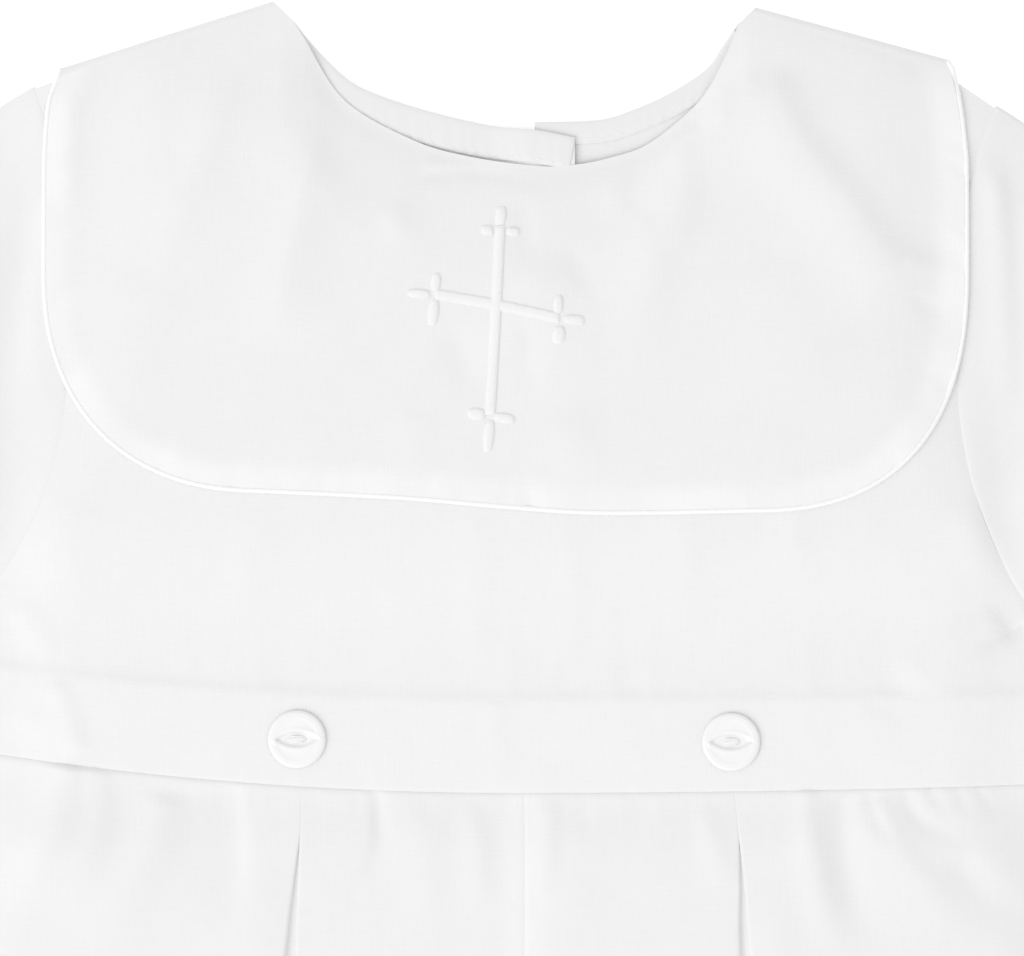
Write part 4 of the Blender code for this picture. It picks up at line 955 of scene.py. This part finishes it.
base = CAD_WALL / 2 + LAYER
rows = stops(LEG_LENGTH, 1.5, (0.0, LEG_LENGTH - LEG_HEM_WIDTH, LEG_LENGTH))
from_stitches = (1 - rows[None, :]) * LEG_LENGTH - LEG_HEM_WIDTH
inner_field, outer_field = stops(48.0, 1.15, (0.0,)), stops(72.0, 1.25, (72.0,))
for half_name, shoulder in SHOULDERS.items():
    side = shoulder["side"]
    pleat = PLEATS[half_name]
    plans, drops = [], []
    for v in rows:
        middle = mix(pleat["waist"], pleat["low"], ease(0.0, 0.17, v))
        px, pd = leg_plan(half_name, middle, v)
        width = abs(float(leg_plan(half_name, 1.0, v)[0] - leg_plan(half_name, 0.0, v)[0]))
        shape = [np.interp(pd, PLEAT_SHAPE["d"], PLEAT_SHAPE[key]) for key in ("half", "round", "depth")]
        profile = leg_profile(shape, leg_crown(px, pd) + 0.9)
        reach = -profile[0, 0] / width
        places = np.concatenate([inner_field[:-1] * (middle - reach), middle + profile[:, 0] / width,
                                 mix(middle + reach, 1.0, outer_field[1:])])
        drop = np.zeros(len(places))
        drop[len(inner_field) - 1:len(inner_field) - 1 + len(profile)] = profile[:, 1]
        plans.append(leg_plan(half_name, places, v))
        drops.append(drop)
    x, d = np.stack(plans, axis=-1)
    drop = np.stack(drops, axis=1)
    crown = leg_crown(x, d)
    folds = creased(LEG_CREASES[half_name], x, d)
    from_waist = np.maximum(0.0, d - waist(WAIST_BOTTOM, x))
    chance = np.random.default_rng(11 if side < 0 else 12)
    for place in chance.uniform(4.0, 117.0, LEG_RIPPLES):
        reach, half = chance.uniform(3.0, 12.0), chance.uniform(0.6, 1.6)
        size = chance.uniform(-0.22, 0.18)
        folds += size * bell(np.abs(x) - place, half) * bell(from_waist, reach)
    folds = np.maximum(folds * mix(0.35, 1.0, ease(0.0, 5.0, crown)), -crown * 0.9)
    hem_groove = LEG_HEM_DIP * bell(from_stitches, 0.7)
    centre = np.abs(x - CENTRE_SEAM - side * inseam(d))
    z = base + crown + folds - drop - hem_groove - 0.2 * np.exp(-centre / SEAM_REACH)
    seam_z = waist_seam(WAIST_BOTTOM, WAIST_ROLL["bottom"], x[:, :1]) - LEG_UNDER + LEG_SEAM_DIP
    flat = base + crown[:, :1]
    z += ((seam_z - flat) * bell(from_waist, SEAM_BLENDS["body"])
          - (z[:, :1] - flat) * bell(from_waist, SEAM_BLENDS["folds"])
          - LEG_SEAM_DIP * np.exp(-from_waist / SEAM_BLENDS["edge"]))
    z = np.maximum(z, CLOTH + 0.35)
    over_seam = 0.5 * bell(np.abs(x - CENTRE_SEAM), 5.0, 4)
    front_leg = cloth_piece(f"front_leg_{half_name}_cloth", x[::side], d[::side], z[::side], batiste,
                            f"front_leg_{half_name}", doubled_and_lit=over_seam[::side])
    hx, hd = leg_plan(half_name, np.linspace(0.02, 0.98, 120), 1 - LEG_HEM_WIDTH / LEG_LENGTH)
    hz = (base + leg_crown(hx, hd) + creased(LEG_CREASES[half_name], hx, hd) - LEG_HEM_DIP
          + CLOTH / 2)
    stitches = stitch_row(f"front_leg_{half_name}_stitches", np.column_stack([hx, hd, hz]))
    x, d = leg_plan(half_name, np.linspace(0.0, 1.0, 25)[:, None], np.linspace(0.0, 1.0, 40)[None, :])
    back_leg = cloth_piece(f"back_leg_{half_name}_cloth", x[::side], d[::side],
                           np.full(x.shape, CLOTH / 2), batiste, f"back_leg_{half_name}")


# Collar: a wide bib of the same cotton, doubled along its edge where the seam allowance is turned
# in, folded over both shoulders and open at the centre back. It lies on the bodice.
COLLAR_FRONT_CORNERS = {
    "left": {"centre": (-57.0, 62.0), "half": (50.0, 50.0), "power": 2.25},
    "right": {"centre": (54.0, 60.0), "half": (50.0, 56.5), "power": 2.5},
}
COLLAR_FRONT_BOTTOM = [(-57.0, 112.0), (-25.0, 113.6), (-3.0, 115.5), (20.0, 117.0), (54.0, 116.5)]
BACK_CORNER = {"centre": (62.0, 63.0), "half": (42.0, 42.0), "power": 2.3}
BACK_CORNER_TOP = (103.6, 34.0)
COLLAR_BACK_ROUND = 24.0
COLLAR_BACK_MEET = (LAP_LEFT_EDGE + LAP_RIGHT_EDGE) / 2
SEAM_ALLOWANCE = 6.2
FOLD_SQUARE = 0.9
SHOULDER_ROLL = 0.55
ROLL_REACH = (1.8, 8.0)
EDGE_STEP = 1.06
NECK_TURN = 0.6
COLLAR_CREASES = [
    crease([(-40.4, 27.5), (-45.6, 36), (-49.4, 51.4), (-52.4, 66.4), (-54, 82)], (6, 8.5), 1.6,
           swell=0.3, fade=0.35, power=1.5),
    crease([(-61.8, 16), (-67.5, 27), (-72.2, 41), (-76.8, 50.6), (-80, 66)], (4.4, 6), 0.9, fade=0.4),
    crease([(-100.8, 18), (-101.4, 34), (-101.2, 52)], (4, 4), 0.7),
    crease([(-88, 58), (-90, 78), (-84, 98)], (9, 9), 0.5),
    crease([(39.4, 26), (38.2, 33), (35.6, 41)], (2.2, 3), 0.6),
    crease([(49.6, 18), (46.4, 28.8), (39.6, 37.4), (36.4, 50.4), (31.9, 57.4), (28, 75), (21, 90)],
           (4.2, 9), 1.5, lean=0.15, swell=0.12),
    crease([(9, 56), (8, 74), (9, 96)], (9, 12), 1.0),
    crease([(26.5, 33), (24, 42), (21.5, 52)], (2.6, 3.5), 0.5, lean=0.2),
    crease([(57.2, 14), (61.3, 26.7), (67.4, 36.5), (74.2, 44.9), (80.4, 54), (87.9, 63.1), (93.4, 73)],
           (7, 8.5), 1.75, lean=0.3, swell=0.12, fade=0.25),
    crease([(88, 58.5), (95, 60.5), (101, 60)], (2.2, 2.4), 0.45),
    crease([(90, 67), (96, 70), (101.5, 70.5)], (2, 2.6), -0.4),
    crease([(60, 56), (63, 76), (62, 98)], (12, 14), 0.7),
    crease([(-21.5, 35.8), (-15, 36.6), (-7, 38.2)], (1.8, 2.4), 0.75),
    crease([(-26, 42), (-18.5, 39.8), (-9, 38.6), (-1.6, 39.4), (6, 41.4), (11, 43.5)], (1.3, 1.8), -0.75,
           swell=0.35),
    crease([(-29, 46), (-26, 51), (-25, 57)], (3.2, 3.4), 0.6),
    crease([(-14.6, 73), (-11, 81), (-7.5, 92)], (3.2, 4.2), -0.5),
    crease([(4.4, 72), (3.6, 82), (3, 92)], (2.6, 3.6), -0.5),
    crease([(2.6, 44), (3.4, 54), (4, 62)], (2.4, 2.6), -0.35),
    crease([(12, 56), (16, 62), (18, 70)], (3, 3.5), -0.35),
    crease([(-20, 92), (-22, 102), (-24, 112)], (5, 6), 0.35),
    crease([(12, 92), (15, 104), (18, 114)], (5, 6), 0.4),
]
PUCKERS = 70
PUCKER_SIZES = (-0.28, 0.14)
PUCKER_HALVES = (0.8, 2.4)
CELLS = 120
CELL_LENGTHS = (2.5, 9.0)
DOUBLED_RISE = 0.17
NECK_DIP = {"depth": 0.55, "half": 3.6}


def corner(shape, side, steps=24):
    """Rounded corner from a collar's side to its bottom edge."""
    angles = np.linspace(0.0, math.pi / 2, steps + 1)
    across, down = shape["half"]
    return np.stack([
        shape["centre"][0] + side * across * np.cos(angles).clip(0) ** (2 / shape["power"]),
        shape["centre"][1] + down * np.sin(angles).clip(0) ** (2 / shape["power"])], axis=1)


def shoulder_start(shoulder):
    """Where the collar's edge leaves the fold at a shoulder."""
    run, _ = fold_directions(shoulder)
    return fold_centre(shoulder, 1.0)[0] + run * PIPING_EDGE


def front_outline(by):
    """Front edge of the collar from shoulder to shoulder, moved in from the piping's edge."""
    starts = {name: shoulder_start(shoulder) for name, shoulder in SHOULDERS.items()}
    path = even(np.concatenate([
        curve_through([starts["left"], (-106.0, 24.0), (-106.9, 36.0)]),
        corner(COLLAR_FRONT_CORNERS["left"], -1),
        curve_through(COLLAR_FRONT_BOTTOM)[1:-1],
        corner(COLLAR_FRONT_CORNERS["right"], 1)[::-1],
        curve_through([(103.9, 36.0), (102.5, 24.0), starts["right"]])]), 320)
    for _ in range(3):
        path[1:-1] = (path[:-2] + 2 * path[1:-1] + path[2:]) / 4
    moved = inset(path, by)
    moved[0] = starts["left"] - fold_directions(SHOULDERS["left"])[0] * by
    moved[-1] = starts["right"] - fold_directions(SHOULDERS["right"])[0] * by
    return moved


def back_outline(name, by):
    """Edge of one back half of the collar, from its shoulder to its end at the centre back."""
    shoulder = SHOULDERS[name]
    side = shoulder["side"]
    meet = COLLAR_BACK_MEET + side * GAP
    outer = {**BACK_CORNER, "centre": (side * BACK_CORNER["centre"][0], BACK_CORNER["centre"][1])}
    radius = COLLAR_BACK_ROUND
    inner = {"centre": (meet + side * radius, BACK_COLLAR_BOTTOM - radius),
             "half": (radius, radius), "power": 2.0}
    path = even(np.concatenate([
        [shoulder_start(shoulder)], [(side * BACK_CORNER_TOP[0], BACK_CORNER_TOP[1])],
        corner(outer, side), corner(inner, -side)[::-1]]), 160)
    moved = inset(path, -side * by)
    moved[0] = shoulder_start(shoulder) - fold_directions(shoulder)[0] * by
    moved[-1] = (meet + side * by, BACK_COLLAR_BOTTOM - radius)
    return moved


def collar_level(x, d):
    """Middle of the front collar's cloth, with its creases."""
    edge = ease(0.5, 9.0, d - neck(NECK_FRONT, x)) * ease(0.0, 10.0, 108.0 - np.abs(x))
    small = np.clip(edge * 2.5, 0.0, 1.0)
    folds = creased(COLLAR_CREASES, x, d)
    folds = np.maximum(folds * mix(edge, small, 0.5), 0.5 - COLLAR_CLEAR)
    sink = np.zeros(np.shape(x))
    for shoulder in SHOULDERS.values():
        _, out = fold_directions(shoulder)
        below = (shoulder["neck"][0] - x) * out[0] + (shoulder["neck"][1] - d) * out[1]
        near = np.clip((ROLL_REACH[1] - below) / (ROLL_REACH[1] - ROLL_REACH[0]), 0.0, 1.0)
        sink = sink + SHOULDER_ROLL * near ** 2
        folds = folds * (1.0 - 0.8 * near ** 2)
    return front_level(x, d) + COLLAR_CLEAR + folds - sink


def fold_column(shoulder, turn, parts):
    """Column of the collar on its way round the shoulder, from turn 0 at the back to 1."""
    run, out = fold_directions(shoulder)
    column = []
    for part in parts:
        centre, radius = fold_centre(shoulder, part)
        edge = mix(shoulder["neck"], shoulder["outer"], part) - out * CLOTH / 2
        bend = math.cos(math.pi * turn)
        plan = mix(centre, edge, abs(math.sin(math.pi * turn)) ** FOLD_SQUARE)
        plan = plan + run * (PIPING_EDGE - EDGE_STEP) * part ** 4
        rise = (1 - math.copysign(abs(bend) ** FOLD_SQUARE, bend)) / 2
        column.append((*plan, mix(CLOTH / 2, CAD_WALL / 2 + 2 * radius - SHOULDER_ROLL, rise)))
    return np.array(column)


collar_rows = stops(84.0, 1.25, (0.0, 84.0 - SEAM_ALLOWANCE + 1.2, 84.0))
turns = np.linspace(0.0, 1.0, 15)
outline = front_outline(EDGE_STEP)
neck_xs = np.linspace(NECK_ENDS["left"], NECK_ENDS["right"], 121)
inner = np.concatenate([
    [fold_centre(left, 0.0)[0]], np.stack([neck_xs, neck(NECK_FRONT, neck_xs)], axis=1),
    [fold_centre(right, 0.0)[0]]])
inner_run, outer_run = even(inner, 236), even(outline, 236)
plan = mix(inner_run[:, None], outer_run[:, None], collar_rows[None, :, None])
x, d = plan[..., 0], plan[..., 1]
z = collar_level(x, d)
edge_gap = away_from(outline, x, d)
reach = distances(outer_run)
chance = np.random.default_rng(5)
pucker = np.zeros(len(reach))
for place in chance.uniform(0.0, reach[-1], PUCKERS):
    size = chance.uniform(*PUCKER_SIZES)
    pucker += size * bell(reach - place, chance.uniform(*PUCKER_HALVES))
band = 1.0 - ease(SEAM_ALLOWANCE - 3.4, SEAM_ALLOWANCE + 1.8, edge_gap + 2.4 * pucker[:, None])
cell_places = np.cumsum(chance.uniform(*CELL_LENGTHS, CELLS))
cells = np.interp(reach, cell_places, chance.uniform(0.45, 1.0, CELLS))
from_neck = away_from(inner, x, d)
z += (band * DOUBLED_RISE * np.minimum(1.0, from_neck / 6.0)
      + pucker[:, None] * bell(edge_gap, 4.5))
z -= (NECK_DIP["depth"] * bell(from_neck, NECK_DIP["half"])
      * ease(0.0, 8.0, 50.0 - np.abs(x)) + neck_settle(x, d))
front_points = np.stack([x, d, z], axis=-1)
front_points[0] = fold_column(left, 1.0, collar_rows)
front_points[-1] = fold_column(right, 1.0, collar_rows)
halves = {}
for half_name, shoulder in SHOULDERS.items():
    side = shoulder["side"]
    xs = mix(COLLAR_BACK_MEET + side * (GAP + EDGE_STEP), NECK_ENDS[half_name],
             np.linspace(0.0, 1.0, 60))
    inner_back = np.stack([xs, neck(NECK_BACK[half_name], xs) + NECK_TURN], axis=1)
    inner_back = np.concatenate([inner_back, [fold_centre(shoulder, 0.0)[0]]])
    outer_back = back_outline(half_name, EDGE_STEP)[::-1]
    plan = mix(even(inner_back, 30)[:, None], even(outer_back, 30)[:, None],
               collar_rows[None, :, None])
    halves[half_name] = np.concatenate([plan, np.full((*plan.shape[:2], 1), CLOTH / 2)], axis=-1)
columns = [halves["left"][:-1]]
columns += [fold_column(left, turn, collar_rows)[None] for turn in turns[:-1]]
columns += [front_points[:-1]]
columns += [fold_column(right, turn, collar_rows)[None] for turn in turns[:0:-1]]
columns += [halves["right"][::-1]]
points = np.concatenate(columns)
x, d, z = points[..., 0], points[..., 1], points[..., 2]
doubled_and_lit = np.zeros(x.shape)
first = len(halves["left"]) - 1 + len(turns) - 1
doubled_and_lit[first:first + len(band) - 1] = (band * cells[:, None])[:-1]
collar = cloth_piece("collar_cloth", x, d, z, batiste, "collar", doubled_and_lit=doubled_and_lit)


# Piping: a thin cord in a bias strip of the same cotton, sewn into the collar's edge all round, over
# both shoulders and up both sides of the back opening. The strip wraps it in fine slanting ripples.
PIPING_RADIUS = 0.62
PIPING_SIDES = 12
PIPING_STEP = 0.55
RIPPLE_PITCH = 1.9
RIPPLE = 0.035
PIPING_SINK = 0.16
BACK_STRAIGHT = 76.0


def piping_turn(shoulder, turn):
    """Point of the piping on its way round the shoulder."""
    run, out = fold_directions(shoulder)
    centre, radius = fold_centre(shoulder, 1.0)
    reach = PIPING_EDGE - PIPING / 2
    tip = np.array(shoulder["outer"]) - out * CAD_WALL / 2 + run * reach
    plan = mix(centre + run * reach, tip, math.sin(math.pi * turn))
    low, high = PIPING_RADIUS, CAD_WALL / 2 + 2 * radius - SHOULDER_ROLL
    return (*plan, float(mix(low, high, (1 - math.cos(math.pi * turn)) / 2)))


def turn_outward(mesh):
    """Turns all faces of a closed mesh outwards."""
    form = bmesh.new()
    form.from_mesh(mesh)
    bmesh.ops.recalc_face_normals(form, faces=form.faces)
    form.to_mesh(mesh)
    form.free()


def tube(name, route, radius, sides, step, ripple, pitch, finish):
    """Round cord along a route of (x, d, z) points, with ripples that slant round it."""
    spots = even(route, int(distances(route)[-1] / step))
    spots = np.stack([spots[:, 0], LENGTH / 2 - spots[:, 1], spots[:, 2]], axis=1)
    run = directions(spots)
    side = np.cross(run, (0.0, 0.0, 1.0))
    for index in range(1, len(side)):
        if np.linalg.norm(side[index]) < 0.3:
            side[index] = side[index - 1]
    side /= np.linalg.norm(side, axis=1, keepdims=True)
    up = np.cross(side, run)
    angles = np.linspace(0.0, 2 * math.pi, sides, endpoint=False)
    reach = np.arange(len(spots)) * step
    slant = 2 * math.pi * reach / pitch + 0.8 * np.sin(reach / 3.1)
    size = radius + ripple * np.sin(slant[:, None] + angles[None])
    ring = (size[..., None] * (np.cos(angles)[None, :, None] * side[:, None]
                               + np.sin(angles)[None, :, None] * up[:, None]))
    corners = spots[:, None] + ring
    corners[..., 1] = LENGTH / 2 - corners[..., 1]
    index = np.arange(size.size).reshape(size.shape)
    after = np.roll(index, -1, axis=1)
    faces = np.stack([index[:-1], after[:-1], after[1:], index[1:]], axis=-1).reshape(-1, 4).tolist()
    faces += [index[0][::-1].tolist(), index[-1].tolist()]
    along_it, round_it = np.broadcast_arrays(reach[:, None], radius * angles[None])
    grain = np.stack([along_it + round_it, along_it - round_it], axis=-1) * 0.7071
    piece = add_piece(name, corners, faces, finish, grain)
    turn_outward(piece.data)
    return piece


piping_ends = {key: piping_turn(value, 1.0) for key, value in SHOULDERS.items()}
front_edge = front_outline(PIPING / 2)
near_edge = front_outline(EDGE_STEP)
levels = collar_level(near_edge[:, 0], near_edge[:, 1]) - PIPING_SINK
blend = ease(0.0, 6.0, np.arange(8))
levels[:8] = mix(piping_ends["left"][2], levels[:8], blend)
levels[-8:] = mix(piping_ends["right"][2], levels[-8:], blend[::-1])
front_edge[0], front_edge[-1] = piping_ends["left"][:2], piping_ends["right"][:2]
back_runs = {}
for half_name, shoulder in SHOULDERS.items():
    px = COLLAR_BACK_MEET + shoulder["side"] * (GAP + PIPING / 2)
    top_d = float(neck(NECK_BACK[half_name], px)) + NECK_TURN
    back_runs[half_name] = [(px, pd, PIPING_RADIUS) for pd in np.linspace(top_d, BACK_STRAIGHT, 6)]
    edge = back_outline(half_name, PIPING / 2)[::-1]
    back_runs[half_name] += [(ex, ed, PIPING_RADIUS) for ex, ed in edge[:-1]]
    back_runs[half_name] += [piping_turn(shoulder, turn) for turn in np.linspace(0.0, 1.0, 13)[:-1]]
route = back_runs["left"] + list(np.column_stack([front_edge, levels])) + back_runs["right"][::-1]
piping_cloth = cotton("white_piping_strip", (0.90, 0.90, 0.90), (0.92, 0.92, 0.92),
                      relief=0.00003, roughness=0.6)
piping = tube("collar_piping_cord", np.array(route, float), PIPING_RADIUS, PIPING_SIDES, PIPING_STEP,
              RIPPLE, RIPPLE_PITCH, piping_cloth)
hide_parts("collar_piping")
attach(piping, "root")


# Embroidered cross: padded satin stitch in white shiny thread, two bars that cross and three small
# buds at each end. Every stitch is a thread laid across its bar, close beside the next one.
SATIN_THREAD = 0.2
SATIN_PITCH = 0.2
SATIN_BENDS = (-0.88, -0.66, -0.36, 0.0, 0.36, 0.66, 0.88)
SATIN_SLANT = 0.16
SATIN_SUNK = 0.15
BAR_WIDTH = 2.5
BAR_HEIGHT = 0.6
BARS = [
    ([(-2.8, 51.4), (-3.6, 69.3), (-5.0, 94.0)], BAR_WIDTH, BAR_HEIGHT, False),
    ([(-17.4, 66.9), (-3.6, 69.3), (10.6, 72.4)], BAR_WIDTH, BAR_HEIGHT * 0.8, False),
    ([(-4.2, 52.3), (-6.9, 52.4)], 2.4, BAR_HEIGHT, True),
    ([(-1.2, 52.6), (1.7, 52.7)], 2.2, BAR_HEIGHT, True),
    ([(-2.7, 51.2), (-2.5, 47.0)], 2.6, BAR_HEIGHT, True),
    ([(-17.4, 66.0), (-17.3, 62.2)], 2.4, BAR_HEIGHT, True),
    ([(-17.7, 68.0), (-18.1, 73.8)], 2.6, BAR_HEIGHT, True),
    ([(-18.6, 66.9), (-23.5, 66.7)], 2.2, BAR_HEIGHT, True),
    ([(10.5, 71.2), (10.4, 67.2)], 2.3, BAR_HEIGHT, True),
    ([(10.5, 74.2), (10.7, 78.0)], 3.0, BAR_HEIGHT, True),
    ([(11.8, 72.6), (16.4, 72.9)], 2.4, BAR_HEIGHT, True),
    ([(-6.2, 94.2), (-10.0, 94.0)], 2.8, BAR_HEIGHT, True),
    ([(-3.9, 94.8), (0.6, 95.4)], 2.4, BAR_HEIGHT, True),
    ([(-5.0, 95.6), (-5.6, 102.5)], 2.5, BAR_HEIGHT, True),
]

satin_shape, satin_faces = thread_shape(SATIN_THREAD, 2.0, "NGON", SATIN_BENDS)
satin_arch = np.sqrt(np.maximum(0.0, 1.0 - np.minimum(1.0, np.abs(satin_shape[:, 0])) ** 2.4))
chance = np.random.default_rng(3)
corners, faces = [], []
for line, width, height, is_bud in BARS:
    line = curve_through(line, 12)
    count = max(4, int(distances(line)[-1] / SATIN_PITCH))
    spots = even(line, count)
    for number, (spot, ahead) in enumerate(zip(spots, directions(spots))):
        t = number / count
        swell = math.sqrt(max(0.0, 1.0 - (2 * t - 1) ** 2)) if is_bud else 1.0
        end = min(1.0, min(t, 1 - t) * count / 3.0)
        half = width / 2 * (0.45 + 0.55 * swell) * chance.uniform(0.95, 1.05)
        rise = height * (0.35 + 0.65 * swell) * (0.55 + 0.45 * end)
        across = np.array([-ahead[1], ahead[0]]) + ahead * SATIN_SLANT
        faces += [[len(corners) + vertex for vertex in face] for face in satin_faces]
        plan = spot + across * satin_shape[:, :1] * half + ahead * satin_shape[:, 1:2]
        corners += list(np.column_stack([plan, rise * satin_arch - SATIN_SUNK + satin_shape[:, 2]]))
corners = np.array(corners)
corners[:, 2] += collar_level(corners[:, 0], corners[:, 1]) + CLOTH / 2
cross = add_piece("embroidered_cross", corners, faces,
                  thread_finish("embroidery_thread", (0.90, 0.90, 0.90), 0.4, 3200.0))
turn_outward(cross.data)
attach(cross, "root")


# Buttons: two glossy white fish-eye buttons, turned with a bevelled rim, a lens-shaped hollow
# across the middle and two holes, sewn through the waistband with a few turns of thread.
BUTTONS = {"left": (-48.9, 168.0), "right": (49.8, 168.6)}
BUTTON_HALF = 6.6
BUTTON_FACE = {"start": 0.12, "end": 5.6, "rings": 44, "height": 2.28}
FACE_BEAD = {"at": 5.2, "half": 0.55, "height": 0.24}
FACE_LOWEST = 1.9
BUTTON_RIM = [(5.72, 2.5), (5.95, 2.4), (6.2, 2.18), (6.42, 1.8), (6.56, 1.4), (BUTTON_HALF, 1.0),
              (6.5, 0.55), (6.2, 0.2), (5.7, 0.0), (3.0, 0.0), (0.4, 0.0)]
BUTTON_TURNS = 160
BUTTON_FLAT = 0.48
BUTTON_CLEAR = 0.07
EYE_LENGTH = 10.4
EYE_WIDTH = 4.0
EYE_DEPTH = 1.25
EYE_SLOPE = 0.75
EYE_LIP = {"out": 0.35, "half": 0.4, "height": 0.22}
EYE_HOLES = (-1.9, 1.9)
HOLE_EDGE = (0.55, 0.9)
HOLE_DEPTH = 0.15
STRANDS = (-0.64, -0.32, 0.0, 0.32, 0.64)
STRAND = {"half_length": 2.3, "rise": 0.55, "radius": 0.19}
STRANDS_SUNK = 0.25


def button_finish():
    """Cast button plastic: hard white gloss with a faint cloud in it."""
    material, shader = new_finish("button_gloss", {"Coat Weight": 0.6, "Coat Roughness": 0.08})
    place = Wire(material.node_tree).node("ShaderNodeTexCoord", output=3)
    cloud = place.node("ShaderNodeTexNoise", values={
        "Vector": place, "Scale": 260.0, "Detail": 3.0, "Roughness": 0.55})
    tone = place.node("ShaderNodeMix", {"data_type": "RGBA"}, {
        0: cloud, 6: (0.83, 0.83, 0.825, 1.0), 7: (0.89, 0.89, 0.89, 1.0)}, output=2)
    tone.to(shader.inputs["Base Color"])
    (cloud * 0.16 + 0.12).to(shader.inputs["Roughness"])
    fine = place.node("ShaderNodeTexNoise", values={"Vector": place, "Scale": 900.0, "Detail": 2.0})
    bump = place.node("ShaderNodeBump", values={
        "Strength": 0.12, "Distance": 0.00005, "Height": fine})
    bump.to(shader.inputs["Normal"])
    return material


gloss = button_finish()
eye_radius = (EYE_LENGTH ** 2 / 4 + EYE_WIDTH ** 2 / 4) / EYE_WIDTH
face_r = np.linspace(BUTTON_FACE["start"], BUTTON_FACE["end"], BUTTON_FACE["rings"])
bead = bell(face_r - FACE_BEAD["at"], FACE_BEAD["half"])
face_z = BUTTON_FACE["height"] + FACE_BEAD["height"] * bead
profile = np.concatenate([np.stack([face_r, face_z], axis=1), np.array(BUTTON_RIM)])
for half_name, (bx, bd) in BUTTONS.items():
    under = max(float(front_level(bx + off, bd)) for off in (-BUTTON_HALF, 0.0, BUTTON_HALF))
    base = under + WAIST_PROUD + CLOTH / 2 + BUTTON_CLEAR
    mesh = bpy.data.meshes.new(f"button_{half_name}_turned")
    mesh.from_pydata([(px, 0.0, pz) for px, pz in profile],
                     [(i, i + 1) for i in range(len(profile) - 1)], [])
    button = bpy.data.objects.new(f"button_{half_name}_turned", mesh)
    scene.collection.objects.link(button)
    choose(button)
    bpy.ops.object.mode_set(mode="EDIT")
    bpy.ops.mesh.select_all(action="SELECT")
    bpy.ops.mesh.spin(steps=BUTTON_TURNS, angle=2 * math.pi, center=(0, 0, 0), axis=(0, 0, 1))
    bpy.ops.mesh.select_all(action="SELECT")
    bpy.ops.mesh.remove_doubles(threshold=0.001)
    bpy.ops.mesh.select_all(action="DESELECT")
    bpy.ops.mesh.select_non_manifold()
    bpy.ops.mesh.edge_face_add()
    bpy.ops.mesh.select_all(action="SELECT")
    bpy.ops.mesh.normals_make_consistent(inside=False)
    bpy.ops.object.mode_set(mode="OBJECT")
    for vertex in mesh.vertices:
        vx, vy, vz = vertex.co
        if vz < FACE_LOWEST:
            continue
        inside = eye_radius - math.hypot(vx, abs(vy) + eye_radius - EYE_WIDTH / 2)
        bowl = EYE_DEPTH * float(ease(0.0, EYE_SLOPE, inside))
        lip = EYE_LIP["height"] * math.exp(-((inside + EYE_LIP["out"]) / EYE_LIP["half"]) ** 2)
        hole = max(float(1 - ease(*HOLE_EDGE, math.hypot(vx - shift, vy))) for shift in EYE_HOLES)
        vertex.co.z = vz - bowl + lip - hole * HOLE_DEPTH
    mesh.transform(Matrix.Translation((bx / 1000, (LENGTH / 2 - bd) / 1000, base / 1000))
                   @ Matrix.Diagonal((0.001, 0.001, 0.001 * BUTTON_FLAT, 1.0)))
    mesh.shade_smooth()
    mesh.materials.append(gloss)
    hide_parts(f"button_{half_name}")
    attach(button, "root")
    strands = []
    low = base + (BUTTON_FACE["height"] - EYE_DEPTH) * BUTTON_FLAT - STRANDS_SUNK
    for number, shift in enumerate(STRANDS):
        arc = [(bx + t * (STRAND["half_length"] - abs(shift)), bd + shift + 0.05 * math.sin(3 * t + number),
                low + STRAND["rise"] * (1 - t * t) ** 0.6) for t in np.linspace(-1.0, 1.0, 13)]
        strands.append(tube(f"button_{half_name}_strand_{number}", np.array(arc), STRAND["radius"], 8,
                            0.2, 0.012, 0.5, sewing_thread))
    choose(strands[0])
    for strand in strands[1:]:
        strand.select_set(True)
    bpy.ops.object.join()
    thread_bar = bpy.context.active_object
    thread_bar.name = f"button_{half_name}_thread"
    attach(thread_bar, "root")
